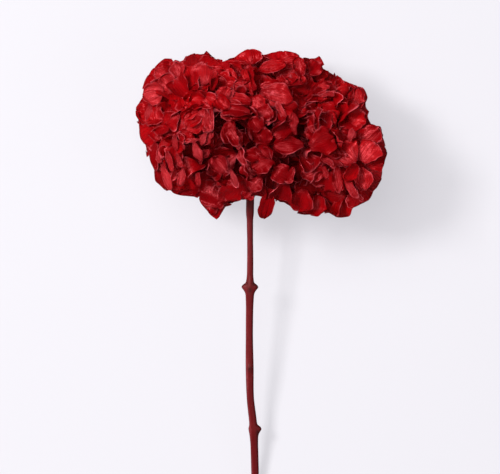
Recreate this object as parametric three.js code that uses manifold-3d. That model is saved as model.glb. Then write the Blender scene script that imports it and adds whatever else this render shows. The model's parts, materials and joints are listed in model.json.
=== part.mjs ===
// A preserved, dyed hydrangea lying on a flat surface: one woody stem that fans out into rays,
// and one dense mophead of four-sepalled florets that the rays carry.
// Millimetres. +X is to the right and +Y towards the top of the head, as seen from above; +Z is up.
// The origin is on the surface, where the head rests, straight below the middle of the head.
import * as THREE from "three";
import { mergeVertices } from "three/addons/utils/BufferGeometryUtils.js";
import Module from "manifold-3d";

const wasm = await Module();
wasm.setup();

// Driving dimensions of the head: a fat, rounded loaf that leans to one side of the stem
const HEAD_CENTRE = new THREE.Vector3(0, -1, 66);
const HEAD_HALF_WIDTH = 80;
const HEAD_HALF_RISE = 42;
const HEAD_HALF_DEPTH = 63;
const HEAD_FULLNESS = 2.7;
const HEAD_LEAN = THREE.MathUtils.degToRad(11);
const HEAD_TILT = THREE.MathUtils.degToRad(14);

// The head grows in clusters, each a dome of its own with a crevice round it
const CLUSTERS = 19;
const CLUSTER_SWELL = 7;
const CLUSTER_REACH = THREE.MathUtils.degToRad(38);

// Lumps and hollows that make the head uneven: the way out to each, its height and its reach
const LUMPS = [
  [[75, 24, 10], -11, 32],
  [[45, 50, 10], 6, 26],
  [[-30, 55, 0], -9, 34],
  [[22, -55, 20], -10, 34],
  [[-55, -45, 0], 5, 28],
  [[80, -50, 0], 4, 26],
];

// Florets: four broad sepals round a small eye
const FLORETS = 76;
const FLORET_SPACING = 29;
const SETTLING_ROUNDS = 60;
const SETTLING_PUSH = 0.2;
const SEPALS = 4;
const SEPAL_LENGTH = 20;
const SEPAL_WIDTH = 20;
const SEPAL_THICKNESS = 0.7;
const SIDE_ROOM = 0.93;
const SEPAL_RISE = THREE.MathUtils.degToRad(32);
const VALLEY_RADIUS = 3.5;
const ROOT_DEPTH = 12;
const RESTING_ROOT = 18;
const FLORET_SEED = 27;

// Florets set by hand where the head's outline or face shows them singly: the way out from the
// head's centre, the way the floret faces, the turn of its sepals in degrees, and its size
const SET_FLORETS = [
  { way: [0, 0, -1], facing: [0, 0, -1], spin: 0, size: 1 },
  { way: [-36, -40, 30], facing: [-0.1, -0.35, 0.93], spin: 5, size: 1.05 },
  { way: [6, -38, 34], facing: [0, -0.4, 0.92], spin: -14, size: 0.95 },
  { way: [40, -42, 26], facing: [0.1, -0.35, 0.93], spin: -8, size: 0.9 },
  { way: [60, -46, 20], facing: [0.2, -0.35, 0.9], spin: 12, size: 1 },
  { way: [66, -22, 34], facing: [0.45, -0.1, 0.89], spin: 45, size: 1.1 },
  { way: [-4, 26, 50], facing: [0.05, 0.5, 0.86], spin: 10, size: 1.15 },
  { way: [40, 46, 24], facing: [0.4, 0.5, 0.77], spin: 30, size: 1.05 },
];

// Nothing grows in the cone where the stem comes in, and the head is hollow there
const STEM_CLEAR = THREE.MathUtils.degToRad(24);
const HOLLOW_REACH = THREE.MathUtils.degToRad(46);
const HOLLOW_DEPTH = 0.42;
const CORE_DEPTH = 6;
const CORE_DETAIL = 3;

// The head's own weight presses its lowest sepals flat against the surface
const PRESS_HEIGHT = 7;

// Stem: places on its middle line, from inside the head down to the cut end
const STEM_ROUTE = [
  [-7.6, -44, 60.5],
  [-7.9, -60, 57],
  [-7.7, -92, 50.5],
  [-7.9, -111, 46.5],
  [-8.3, -143, 39.8],
  [-8.1, -171, 33.6],
  [-7.6, -193, 27.5],
  [-5.4, -214, 21.4],
  [-4.3, -243, 12.4],
  [-3.9, -275, 2.55],
];
// [distance down the stem, radius]
const STEM_RADII = [
  [0, 2.9],
  [9, 2.5],
  [30, 2.15],
  [60, 2.3],
  [70, 3.15],
  [88, 2.65],
  [104, 2.6],
  [130, 2.9],
  [152, 2.65],
  [170, 2.8],
  [178, 3.25],
  [190, 2.8],
  [240, 2.7],
];
// Pairs of leaf scars, each pair a quarter turn round from the last: [distance, angle, height]
const LEAF_SCARS = [
  [69, 0, 3.3],
  [69, 180, 3.3],
  [129, 90, 0.9],
  [129, 270, 0.9],
  [174, 0, 2.6],
  [174, 180, 0.5],
];
const SCAR_ABOVE = 1.5;
const SCAR_BELOW = 3.6;
const SCAR_SPREAD = THREE.MathUtils.degToRad(34);
const STEM_SIDES = 12;
const STEM_STEP = 7;

// Rays: the stem's branches inside the head
const RAYS = 7;
const RAY_SPREAD = THREE.MathUtils.degToRad(52);
const RAY_LENGTH = 34;
const RAY_RADIUS = 1.7;
const RAY_SIDES = 6;
const CLEARANCE = 0.35;

const SEPAL_COLOUR = 0xa8101c;
const STEM_COLOUR = 0x6b1d20;

// The head's own axes: up its rise, across it, and out of its front
const riseAxis = new THREE.Vector3(
  Math.sin(HEAD_LEAN) * Math.cos(HEAD_TILT),
  Math.cos(HEAD_LEAN) * Math.cos(HEAD_TILT),
  Math.sin(HEAD_TILT),
);
const acrossAxis = new THREE.Vector3(Math.cos(HEAD_LEAN), -Math.sin(HEAD_LEAN), 0);
const frontAxis = new THREE.Vector3().crossVectors(acrossAxis, riseAxis);

const stemTop = new THREE.Vector3(...STEM_ROUTE[0]);
const stemWay = stemTop.clone().sub(HEAD_CENTRE).normalize();

// Repeatable random numbers from 0 to 1
function seeded(seed) {
  let state = seed * 7919 + 1;
  return () => {
    state = (state * 48271) % 2147483647;
    return state / 2147483647;
  };
}

function smoothstep(low, high, x) {
  const t = Math.min(1, Math.max(0, (x - low) / (high - low)));
  return t * t * (3 - 2 * t);
}

// Evenly spread directions on a sphere
function spiralDirection(i, count) {
  const height = 1 - (2 * i + 1) / count;
  const turn = i * Math.PI * (3 - Math.sqrt(5));
  const ring = Math.sqrt(1 - height * height);
  return new THREE.Vector3(ring * Math.cos(turn), ring * Math.sin(turn), height);
}

const clusterWays = Array.from({ length: CLUSTERS }, (_, i) => spiralDirection(i, CLUSTERS));

const lumps = LUMPS.map(([way, height, reach]) => ({
  way: new THREE.Vector3(...way).normalize(),
  height,
  reach: THREE.MathUtils.degToRad(reach),
}));

// Distance from the head's centre to the surface that carries the florets
function headRadius(way) {
  const across = Math.abs(way.dot(acrossAxis)) / HEAD_HALF_WIDTH;
  const rise = Math.abs(way.dot(riseAxis)) / HEAD_HALF_RISE;
  const depth = Math.abs(way.dot(frontAxis)) / HEAD_HALF_DEPTH;
  const p = HEAD_FULLNESS;
  const loaf = (across ** p + rise ** p + depth ** p) ** (-1 / p);
  const nearest = Math.min(...clusterWays.map((c) => c.angleTo(way)));
  let radius = loaf - CLUSTER_SWELL * Math.min(1, nearest / CLUSTER_REACH) ** 2;
  for (const lump of lumps)
    radius += lump.height * (1 - smoothstep(0, lump.reach, lump.way.angleTo(way)));
  return radius;
}

function onHead(way, lift = 0) {
  return way.clone().multiplyScalar(headRadius(way) + lift).add(HEAD_CENTRE);
}

// Outward direction of that surface, from three nearby places on it
function headNormal(way) {
  const side = new THREE.Vector3().crossVectors(way, riseAxis).normalize();
  const over = new THREE.Vector3().crossVectors(side, way);
  const probe = 0.12;
  const at = (dx, dy) =>
    onHead(way.clone().addScaledVector(side, dx).addScaledVector(over, dy).normalize());
  const dSide = at(probe, 0).sub(at(-probe, 0));
  const dOver = at(0, probe).sub(at(0, -probe));
  const normal = dSide.cross(dOver).normalize();
  return normal.dot(way) < 0 ? normal.negate() : normal;
}

// Sepals low down are flattened against the surface and never pass through it
function pressed(point) {
  if (point.z < PRESS_HEIGHT)
    point.z = PRESS_HEIGHT * Math.exp((point.z - PRESS_HEIGHT) / PRESS_HEIGHT);
  return point;
}

// Directions of the florets: the set ones, and others that push one another apart until even
function floretWays() {
  const random = seeded(FLORET_SEED);
  const jitter = () => 0.25 * (2 * random() - 1);
  const ways = SET_FLORETS.map(({ way }) => new THREE.Vector3(...way).normalize());
  const loose = FLORETS - ways.length;
  for (let i = 0; i < loose; i++) {
    const offset = new THREE.Vector3(jitter(), jitter(), jitter());
    ways.push(spiralDirection(i, loose).add(offset).normalize());
  }
  for (let round = 0; round < SETTLING_ROUNDS; round++) {
    const places = ways.map((way) => onHead(way));
    for (let i = SET_FLORETS.length; i < FLORETS; i++) {
      const push = new THREE.Vector3();
      for (const other of places) {
        const gap = places[i].distanceTo(other);
        if (gap === 0 || gap > FLORET_SPACING) continue;
        push.addScaledVector(places[i].clone().sub(other), (FLORET_SPACING - gap) / gap);
      }
      const moved = places[i].clone().addScaledVector(push, SETTLING_PUSH).sub(HEAD_CENTRE);
      ways[i] = outsideStem(moved.normalize());
    }
  }
  return ways;
}

// Moves a direction out of the cone where the stem comes in
function outsideStem(way) {
  const angle = way.angleTo(stemWay);
  if (angle >= STEM_CLEAR) return way;
  const axis = new THREE.Vector3().crossVectors(stemWay, way).normalize();
  return stemWay.clone().applyAxisAngle(axis, STEM_CLEAR);
}

// A place on a sepal: along runs from 0 at the eye to 1 at the tip, across from -1 to 1
function sepalPlace(floret, sepal, along, across) {
  const angle = sepal.rise + sepal.bend * along;
  const out = (sepal.length * (Math.sin(angle) - Math.sin(sepal.rise))) / sepal.bend;
  const up = (sepal.length * (Math.cos(sepal.rise) - Math.cos(angle))) / sepal.bend;
  const halfWidth = Math.min(
    0.5 * sepal.width * Math.sin(Math.PI * along ** 1.25) ** 0.7,
    SIDE_ROOM * out,
  );
  const aside = across * halfWidth;
  const lift = (sepal.cup * aside * aside) / sepal.width + sepal.roll * aside;
  const turn = floret.spin + sepal.turn;
  const outward = floret.side
    .clone()
    .multiplyScalar(Math.cos(turn))
    .addScaledVector(floret.over, Math.sin(turn));
  const sideways = new THREE.Vector3().crossVectors(floret.normal, outward);
  return floret.eye
    .clone()
    .addScaledVector(outward, out - lift * Math.sin(angle))
    .addScaledVector(sideways, aside)
    .addScaledVector(floret.normal, up + lift * Math.cos(angle));
}

function makeFloret(way, index) {
  const random = seeded(FLORET_SEED + index + 1);
  const spread = (amount) => amount * (2 * random() - 1);
  const set = SET_FLORETS[index];
  const resting = index === 0;
  const normal = headNormal(way);
  normal.add(new THREE.Vector3(spread(0.25), spread(0.25), spread(0.25))).normalize();
  if (set) normal.set(...set.facing).normalize();
  const side = new THREE.Vector3().crossVectors(normal, riseAxis).normalize();
  const over = new THREE.Vector3().crossVectors(normal, side);
  const eye = onHead(way, spread(2.5));
  if (resting) eye.set(0, 0, SEPAL_THICKNESS / 2);
  const root = eye.clone().addScaledVector(normal, resting ? -RESTING_ROOT : -ROOT_DEPTH);
  const spin = set ? THREE.MathUtils.degToRad(set.spin) : Math.PI * random();
  const floret = { eye, root, normal, side, over, spin, resting, sepals: [] };
  const size = set ? set.size : 1 + spread(0.1);
  for (let i = 0; i < SEPALS; i++)
    floret.sepals.push({
      turn: (i * 2 * Math.PI) / SEPALS + spread(0.12),
      length: SEPAL_LENGTH * size * (1 + spread(0.08)),
      width: SEPAL_WIDTH * size * (1 + spread(0.08)),
      rise: resting ? 0 : SEPAL_RISE + spread(0.3),
      bend: resting ? 0.001 : -0.6 + spread(0.4),
      cup: resting ? 0 : 0.5 + spread(0.5),
      roll: resting ? 0 : spread(0.25),
    });
  return floret;
}

// One floret as one closed body: a cup of four sepals whose back narrows to a root in the core
function floretGeometry(floret) {
  const outline = [
    [0.5, -1],
    [0.93, -1],
    [0.93, 1],
    [0.5, 1],
  ];
  const middle = [floret.eye.clone()];
  const rim = [];
  const faces = [];
  const add = (point) => middle.push(floret.resting ? point : pressed(point)) - 1;
  const valleys = floret.sepals.map((sepal) => {
    const turn = floret.spin + sepal.turn - Math.PI / SEPALS;
    return add(
      floret.eye
        .clone()
        .addScaledVector(floret.side, VALLEY_RADIUS * Math.cos(turn))
        .addScaledVector(floret.over, VALLEY_RADIUS * Math.sin(turn))
        .addScaledVector(floret.normal, floret.resting ? 0 : 0.5 * VALLEY_RADIUS),
    );
  });
  floret.sepals.forEach((sepal, i) => {
    const rib = add(sepalPlace(floret, sepal, 0.52, 0));
    const edge = [
      valleys[i],
      ...outline.map(([along, across]) => add(sepalPlace(floret, sepal, along, across))),
      valleys[(i + 1) % SEPALS],
    ];
    for (let k = 0; k < edge.length - 1; k++) {
      faces.push([rib, edge[k], edge[k + 1]]);
      rim.push([edge[k], edge[k + 1]]);
    }
    faces.push([rib, edge[edge.length - 1], 0], [rib, 0, edge[0]]);
  });
  return thickened(middle, faces, rim, floret);
}

// Gives a middle surface its thickness. Its first place goes down at the back, as the floret's root
function thickened(middle, faces, rim, floret) {
  const normals = middle.map(() => new THREE.Vector3());
  for (const [a, b, c] of faces) {
    const ab = middle[b].clone().sub(middle[a]);
    const facing = ab.cross(middle[c].clone().sub(middle[a]));
    for (const i of [a, b, c]) normals[i].add(facing);
  }
  const half = SEPAL_THICKNESS / 2;
  const front = middle.map((p, i) => p.clone().addScaledVector(normals[i].normalize(), half));
  const back = middle.map((p, i) => p.clone().addScaledVector(normals[i], -half));
  back[0] = floret.root;
  const count = middle.length;
  const index = [];
  for (const [a, b, c] of faces) index.push(a, b, c, a + count, c + count, b + count);
  for (const [a, b] of rim) index.push(a, a + count, b + count, a, b + count, b);
  const geometry = new THREE.BufferGeometry().setFromPoints([...front, ...back]);
  return geometry.setIndex(index);
}

// The solid heart of the head, hollow where the stem comes in
function coreGeometry() {
  const ball = new THREE.IcosahedronGeometry(1, CORE_DETAIL);
  ball.deleteAttribute("normal");
  ball.deleteAttribute("uv");
  const core = mergeVertices(ball, 1e-4);
  const place = core.getAttribute("position");
  for (let i = 0; i < place.count; i++) {
    const way = new THREE.Vector3().fromBufferAttribute(place, i).normalize();
    const hollow = 1 - smoothstep(0, HOLLOW_REACH, way.angleTo(stemWay));
    const reach = (headRadius(way) - CORE_DEPTH) * (1 - HOLLOW_DEPTH * hollow);
    const point = pressed(way.multiplyScalar(reach).add(HEAD_CENTRE));
    place.setXYZ(i, point.x, point.y, point.z);
  }
  return core;
}

// A closed tube along a curve, whose radius is a function of distance and angle
function sweptGeometry(curve, stations, sides, radiusAt) {
  const length = curve.getLength();
  const points = [];
  const index = [];
  for (const distance of stations) {
    const share = Math.min(1, distance / length);
    const centre = curve.getPointAt(share);
    const along = curve.getTangentAt(share);
    const right = new THREE.Vector3(1, 0, 0).addScaledVector(along, -along.x).normalize();
    const up = new THREE.Vector3().crossVectors(along, right);
    for (let k = 0; k < sides; k++) {
      const angle = (2 * Math.PI * k) / sides;
      const radius = radiusAt(distance, angle);
      points.push(
        centre
          .clone()
          .addScaledVector(right, radius * Math.cos(angle))
          .addScaledVector(up, radius * Math.sin(angle)),
      );
    }
  }
  const rings = stations.length;
  const first = points.push(curve.getPointAt(0)) - 1;
  const last = points.push(curve.getPointAt(1)) - 1;
  for (let k = 0; k < sides; k++) {
    const next = (k + 1) % sides;
    index.push(first, next, k);
    index.push(last, (rings - 1) * sides + k, (rings - 1) * sides + next);
    for (let r = 0; r < rings - 1; r++) {
      const a = r * sides + k;
      const b = r * sides + next;
      index.push(a, b, b + sides, a, b + sides, a + sides);
    }
  }
  return new THREE.BufferGeometry().setFromPoints(points).setIndex(index);
}

function solidOf(geometry) {
  const vertProperties = new Float32Array(geometry.getAttribute("position").array);
  const triVerts = new Uint32Array(geometry.getIndex().array);
  return new wasm.Manifold(new wasm.Mesh({ numProp: 3, vertProperties, triVerts }));
}

// The largest body of a solid, as a geometry: loose scraps are dropped
function geometryOf(solid) {
  const whole = solid.decompose().sort((a, b) => b.volume() - a.volume())[0];
  const mesh = whole.getMesh();
  return new THREE.BufferGeometry()
    .setAttribute("position", new THREE.BufferAttribute(mesh.vertProperties, 3))
    .setIndex(new THREE.BufferAttribute(mesh.triVerts, 1));
}

function stemRadius(distance, angle) {
  const after = STEM_RADII.findIndex(([d]) => d > distance);
  let radius = STEM_RADII[STEM_RADII.length - 1][1];
  if (after > 0) {
    const [d0, r0] = STEM_RADII[after - 1];
    const [d1, r1] = STEM_RADII[after];
    radius = r0 + (r1 - r0) * smoothstep(d0, d1, distance);
  }
  for (const [at, degrees, height] of LEAF_SCARS) {
    const turn = angle - THREE.MathUtils.degToRad(degrees);
    const off = Math.atan2(Math.sin(turn), Math.cos(turn)) / SCAR_SPREAD;
    const past = distance - at;
    const fade = past / (past < 0 ? SCAR_ABOVE : SCAR_BELOW);
    radius += height * Math.exp(-off * off - fade * fade);
  }
  return radius;
}

function stemSolid(grown) {
  const curve = new THREE.CatmullRomCurve3(
    STEM_ROUTE.map((p) => new THREE.Vector3(...p)),
    false,
    "centripetal",
  );
  const length = curve.getLength();
  const stations = new Set([0, length]);
  for (let d = STEM_STEP; d < length - STEM_STEP / 2; d += STEM_STEP) stations.add(d);
  for (const [at] of LEAF_SCARS)
    for (const step of [-3, -1.3, 0, 2.2, 5]) stations.add(at + step);
  return solidOf(
    sweptGeometry(
      curve,
      [...stations].sort((a, b) => a - b),
      STEM_SIDES,
      (distance, angle) => stemRadius(distance, angle) + grown,
    ),
  );
}

// Rays fan out from the stem's top; grown makes them thicker and longer all round
function raySolids(grown) {
  const inward = stemWay.clone().negate();
  const side = new THREE.Vector3().crossVectors(inward, frontAxis).normalize();
  const over = new THREE.Vector3().crossVectors(inward, side);
  return Array.from({ length: RAYS }, (_, i) => {
    const turn = (2 * Math.PI * i) / RAYS;
    const spread = RAY_SPREAD * (0.85 + 0.3 * (i % 2));
    const way = inward
      .clone()
      .multiplyScalar(Math.cos(spread))
      .addScaledVector(side, Math.sin(spread) * Math.cos(turn))
      .addScaledVector(over, Math.sin(spread) * Math.sin(turn));
    const start = stemTop.clone().addScaledVector(inward, -1.5);
    const elbow = start.clone().lerp(stemTop.clone().addScaledVector(way, RAY_LENGTH * 0.5), 0.9);
    const tip = stemTop.clone().addScaledVector(way, RAY_LENGTH + grown);
    const curve = new THREE.QuadraticBezierCurve3(start, elbow, tip);
    const length = curve.getLength();
    return solidOf(
      sweptGeometry(
        curve,
        [0, length * 0.35, length * 0.7, length],
        RAY_SIDES,
        (distance) => RAY_RADIUS * (1 - (0.3 * distance) / length) + grown,
      ),
    );
  });
}

const florets = floretWays().map(makeFloret);
const branches = wasm.Manifold.union([stemSolid(0), ...raySolids(0)]);
const branchRoom = wasm.Manifold.union([stemSolid(CLEARANCE), ...raySolids(CLEARANCE)]);
const head = wasm.Manifold.union([
  solidOf(coreGeometry()),
  ...florets.map((floret) => solidOf(floretGeometry(floret))),
]).subtract(branchRoom);

const sepalMaterial = new THREE.MeshStandardMaterial({
  color: SEPAL_COLOUR,
  roughness: 0.6,
  metalness: 0,
});
const stemMaterial = new THREE.MeshStandardMaterial({
  color: STEM_COLOUR,
  roughness: 0.55,
  metalness: 0,
});

function named(name, solid, material) {
  const mesh = new THREE.Mesh(geometryOf(solid), material);
  mesh.name = name;
  return mesh;
}

const hydrangea = new THREE.Group();
hydrangea.add(named("stem", branches, stemMaterial), named("flower_head", head, sepalMaterial));

export default hydrangea;
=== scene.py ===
"""A preserved, dyed hydrangea lying on a pale surface, seen from straight above.

Sizes are in millimetres, and a mesh is turned to metres when it is made. +X is to the right, +Y is
towards the top of the head and +Z is up from the surface.
"""

import json
import math
from functools import partial

import bpy
import numpy as np
from mathutils import Matrix

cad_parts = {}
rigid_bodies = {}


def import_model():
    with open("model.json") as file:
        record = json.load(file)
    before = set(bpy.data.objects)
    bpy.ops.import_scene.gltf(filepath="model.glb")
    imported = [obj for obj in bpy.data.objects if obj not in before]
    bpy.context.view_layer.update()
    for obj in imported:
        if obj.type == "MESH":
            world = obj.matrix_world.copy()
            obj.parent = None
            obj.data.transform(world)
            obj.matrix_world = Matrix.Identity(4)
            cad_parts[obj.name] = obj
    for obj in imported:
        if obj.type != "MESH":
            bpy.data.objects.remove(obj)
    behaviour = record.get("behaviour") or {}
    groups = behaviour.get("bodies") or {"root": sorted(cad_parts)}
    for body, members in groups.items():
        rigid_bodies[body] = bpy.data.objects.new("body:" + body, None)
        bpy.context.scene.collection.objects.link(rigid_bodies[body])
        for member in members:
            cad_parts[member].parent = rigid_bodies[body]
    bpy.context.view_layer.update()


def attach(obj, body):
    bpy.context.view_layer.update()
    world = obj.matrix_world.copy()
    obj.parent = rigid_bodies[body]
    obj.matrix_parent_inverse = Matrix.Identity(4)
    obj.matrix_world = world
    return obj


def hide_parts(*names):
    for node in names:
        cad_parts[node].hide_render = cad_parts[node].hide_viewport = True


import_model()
MM = 0.001

# The head: a fat, rounded loaf that leans to one side of the stem
HEAD_CENTRE = np.array([0.0, -1.0, 66.0])
HEAD_HALVES = np.array([80.0, 42.0, 63.0])  # across, up its rise, out of its front
HEAD_FULLNESS = 2.7
HEAD_LEAN = math.radians(11)
HEAD_TILT = math.radians(14)
CLUSTERS = 19
CLUSTER_SWELL = 7.0
CLUSTER_REACH = math.radians(38)
# Where it swells or falls in: the way out from its centre, how far, and over how many degrees
LUMPS = [
    ((75, 24, 10), -11, 32),
    ((45, 50, 10), 6, 26),
    ((-30, 55, 0), -9, 34),
    ((22, -55, 20), -10, 34),
    ((-55, -45, 0), 5, 28),
    ((80, -50, 0), 4, 26),
]
STEM_CLEAR = math.radians(24)  # the florets keep this far from the stem
PRESS_HEIGHT = 7.0  # what reaches lower than this is pressed flat towards the surface

# The photograph's frame, in pixels from its upper left corner, and the camera over it
VIEW = np.array([500, 474])
HEAD_PIXEL = np.array([261, 130])  # where the head's centre shows
PIXEL = 180 / 252  # the head's width in mm by its width in pixels
RIGHT_DOWN = np.array([PIXEL, -PIXEL])
DISTANCE = 2500  # from the camera to the height of the head's centre
CAMERA_AXIS = (VIEW / 2 - HEAD_PIXEL) * RIGHT_DOWN
FLOOR_REACH = 3000

# The florets of the part's own source, at the same places
FLORETS = 76
FLORET_SPACING = 29.0
FLORET_SEED = 27
SETTLING_ROUNDS = 60
SETTLING_PUSH = 0.2
SETTLING_JITTER = 0.25
FACING_JITTER = 0.25
LIFT_JITTER = 2.5
SIZE_JITTER = 0.1
# the way out from the head's centre, the way the floret faces, its turn in degrees, its size
SET_FLORETS = [
    ((0, 0, -1), (0, 0, -1), 0, 1.0),
    ((-36, -40, 30), (-0.1, -0.35, 0.93), 5, 1.05),
    ((6, -38, 34), (0, -0.4, 0.92), -14, 0.95),
    ((40, -42, 26), (0.1, -0.35, 0.93), -8, 0.9),
    ((60, -46, 20), (0.2, -0.35, 0.9), 12, 1.0),
    ((66, -22, 34), (0.45, -0.1, 0.89), 45, 1.1),
    ((-4, 26, 50), (0.05, 0.5, 0.86), 10, 1.15),
    ((40, 46, 24), (0.4, 0.5, 0.77), 30, 1.05),
]
# More florets than the source holds: some between those, a little deeper, and some well inside
BETWEEN = {"count": 64, "spacing": 22.0, "lift": -2.5, "share": 1.0, "tip": 0.45, "seed": 3}
INSIDE = {"count": 90, "spacing": 19.0, "lift": 0.0, "share": 0.76, "tip": 0.5, "seed": 5}
MORE_LIFT_JITTER = 2.0
MORE_SIZE, MORE_SIZE_JITTER = 0.92, 0.12
STANDING_SEPALS = 70
STANDING_SPACING = 20.0
STANDING_LIFT = -7.0
FORM_SEED, LAID_SEED, OPEN_SEED, STANDING_SEED = 11, 77, 78, 41

# How the florets lie
UPWARD = 0.25  # how far the florets at the outline turn their faces up, to the light
FLAT_REACH = 17.0  # a floret's reach from its middle in its own plane
FACE_REACH = 6.0  # and out of its face
HELD_AT_MOST = 16.0  # the furthest that a floret is moved in from the outline
OUTLINE_GAP = 1.0  # it stops this far inside
TUCK = 0.3  # the share that is left of what still stands out over the outline
SHINGLE = 0.9  # how far the florets of the crown tilt towards the top of the picture
SEEN_SINK = 4.0  # the florets that are seen stand this much deeper, under the single sepals
CROWN_SINK = 3.0
OPEN_REACH = 20.0  # the most that an open sepal's claw stands over the head
LEAN_SHARE = 0.25  # a laid sepal follows its lean by this share, and else the head's surface
LAID_SLOPES = -0.9, 0.8  # the steepest that it falls and rises
LAID_LONGER, LAID_WIDER = 1.04, 1.06  # than it looks, as it curls
OPEN_LONGER = 1.02
CUPPING = 1.5  # how far a cup of 1 in the tables of sepals curls a sepal across
CALM = 0.45  # the share of its folds that a laid sepal close to the head keeps
WIDE = 20  # an open sepal narrower than this, in pixels, keeps fewer of its folds
SIDE_EDGE = 42.0  # florets further out than this belong to the left or the right piece
# Painted shade: the red is painted darkest in the crowded middle of the head's front, where shade falls
# between the florets. Its middle in pixels, its reach in mm across and up. There the red keeps the first
# of these shares, and a floret that happens to be dark keeps the second
DARK_MIDDLE = (262, 158)
DARK_REACH = (58, 38)
DARK_BY_PLACE, DARK_BY_CHANCE = 0.08, 0.35

# One floret: four sepals round a small shut flower, in forms from nearly flat to half shut
SEPALS = 4
SEPAL_LENGTH = 19.5
SEPAL_WIDTH = 20.5
SEPAL_THICKNESS = 0.3
LEAST_CUP = 0.05
RIM_ANGLE = math.radians(62)  # faces that meet at more than this have a sharp edge between them
BUD_RADIUS = 1.25
FORMS = 24
FLATTEST, STEEPEST = 2, 48  # how far the sepals rise, in degrees
FIRST_FORM_SEED = 100
# Rows of points along a sepal, and columns across it
FINE_GRID, PLAIN_GRID = (13, 9), (5, 5)
LAID_GRID, OPEN_GRID, STANDING_GRID = (15, 11), (17, 13), (11, 7)

# How a sepal curls: its bend, the curl of its tip, its cup across, its keel, the ruffle of its
# margin, the lift of its rim, a dent, a twist, the pleats and crumples of its face, and where its
# outline is widest and how blunt it is. Each is drawn at random: a middle value, and its reach
WAVES = {"waves": (13, 4), "phase": (0, math.pi)}
CREASES = {
    "pleat": (0.7, 0.45),
    "pleats": (7, 3),
    "crumple": (0.55, 0.35),
    "widest": (1.5, 0.3),
    "blunt": (0.57, 0.13),
}
FLORET_CURL = {
    "tip": (0, 0.9),
    "cup": (0.3, 1.1),
    "keel": (0, 1.2),
    "ruffle": (1.5, 0.8),
    **WAVES,
    "rim": (0, 0.9),
    "dent": (0, 1.5),
    "twist": (0, 0.7),
    **CREASES,
}
STANDING_CURL = {
    "bend": (-0.5, 0.7),
    "length": (15.0, 2.5),
    "width": (16.5, 3),
    "tip": (0, 1.2),
    "cup": (1.0, 1.0),
    "keel": (0, 1.2),
    "ruffle": (1.8, 1.0),
    **WAVES,
    "rim": (0, 1.2),
    "dent": (0, 1.8),
    "twist": (0, 0.8),
    **CREASES,
}
LAID_CURL = {
    "bend": (-0.35, 0.4),
    "tip": (0, 0.7),
    "cup": (0, 0.2),
    "keel": (0, 1.2),
    "ruffle": (1.4, 0.8),
    **WAVES,
    "rim": (0, 0.8),
    "dent": (0, 1.2),
    "twist": (0, 0.4),
    **CREASES,
}
OPEN_CURL = {
    **CREASES,
    "bend": (-0.25, 0.25),
    "tip": (0, 0.4),
    "cup": (0, 0.15),
    "ruffle": (1.3, 0.8),
    **WAVES,
    "rim": (0, 0.8),
    "dent": (0, 1.3),
    "twist": (0, 0.25),
}

# The head's outline in the photograph, from its upper left corner round to the right, in pixels
OUTLINE = [
    (152, 70), (159, 64), (166, 59), (176, 60), (183, 63), (189, 56), (196, 54), (204, 55),
    (207, 51), (212, 58), (218, 63), (226, 61), (235, 60), (240, 53), (247, 50), (254, 49),
    (260, 52), (264, 57), (272, 53), (285, 51), (296, 54), (303, 59), (314, 60), (319, 56),
    (323, 66), (332, 71), (341, 80), (353, 85), (363, 87), (367, 97), (362, 108), (366, 112),
    (364, 117), (368, 124), (380, 126), (382, 139), (387, 154), (382, 168), (381, 179),
    (373, 190), (368, 200), (352, 207), (348, 216), (336, 217), (326, 209), (318, 216),
    (306, 212), (293, 210), (287, 200), (277, 200), (274, 205), (271, 214), (265, 218),
    (260, 217), (258, 214), (256, 202), (247, 199), (235, 200), (227, 200), (221, 214),
    (217, 219), (211, 214), (204, 204), (197, 195), (176, 194), (165, 190), (157, 180),
    (155, 170), (150, 154), (148, 146), (142, 139), (140, 124), (136, 119), (136, 108),
    (142, 99), (143, 89), (147, 79),
]
OUTLINE_MIDDLE = np.array([255, 130])
# Dark hollows between the florets: place and radius in pixels, and depth in mm
HOLLOWS = [
    (228, 139, 34, 38), (222, 122, 15, 12), (290, 166, 18, 15), (304, 166, 16, 14),
    (334, 184, 16, 15), (252, 166, 15, 10), (272, 143, 12, 8), (189, 124, 17, 14),
    (232, 168, 18, 14), (275, 158, 56, 6), (173, 103, 16, 9), (294, 160, 24, 20),
    (190, 158, 16, 14), (245, 172, 15, 16), (265, 182, 14, 16), (266, 130, 15, 16),
    (246, 77, 12, 8), (311, 108, 12, 8), (316, 177, 13, 12), (341, 88, 12, 6),
    (281, 129, 12, 7), (358, 162, 26, 15),
]
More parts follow.
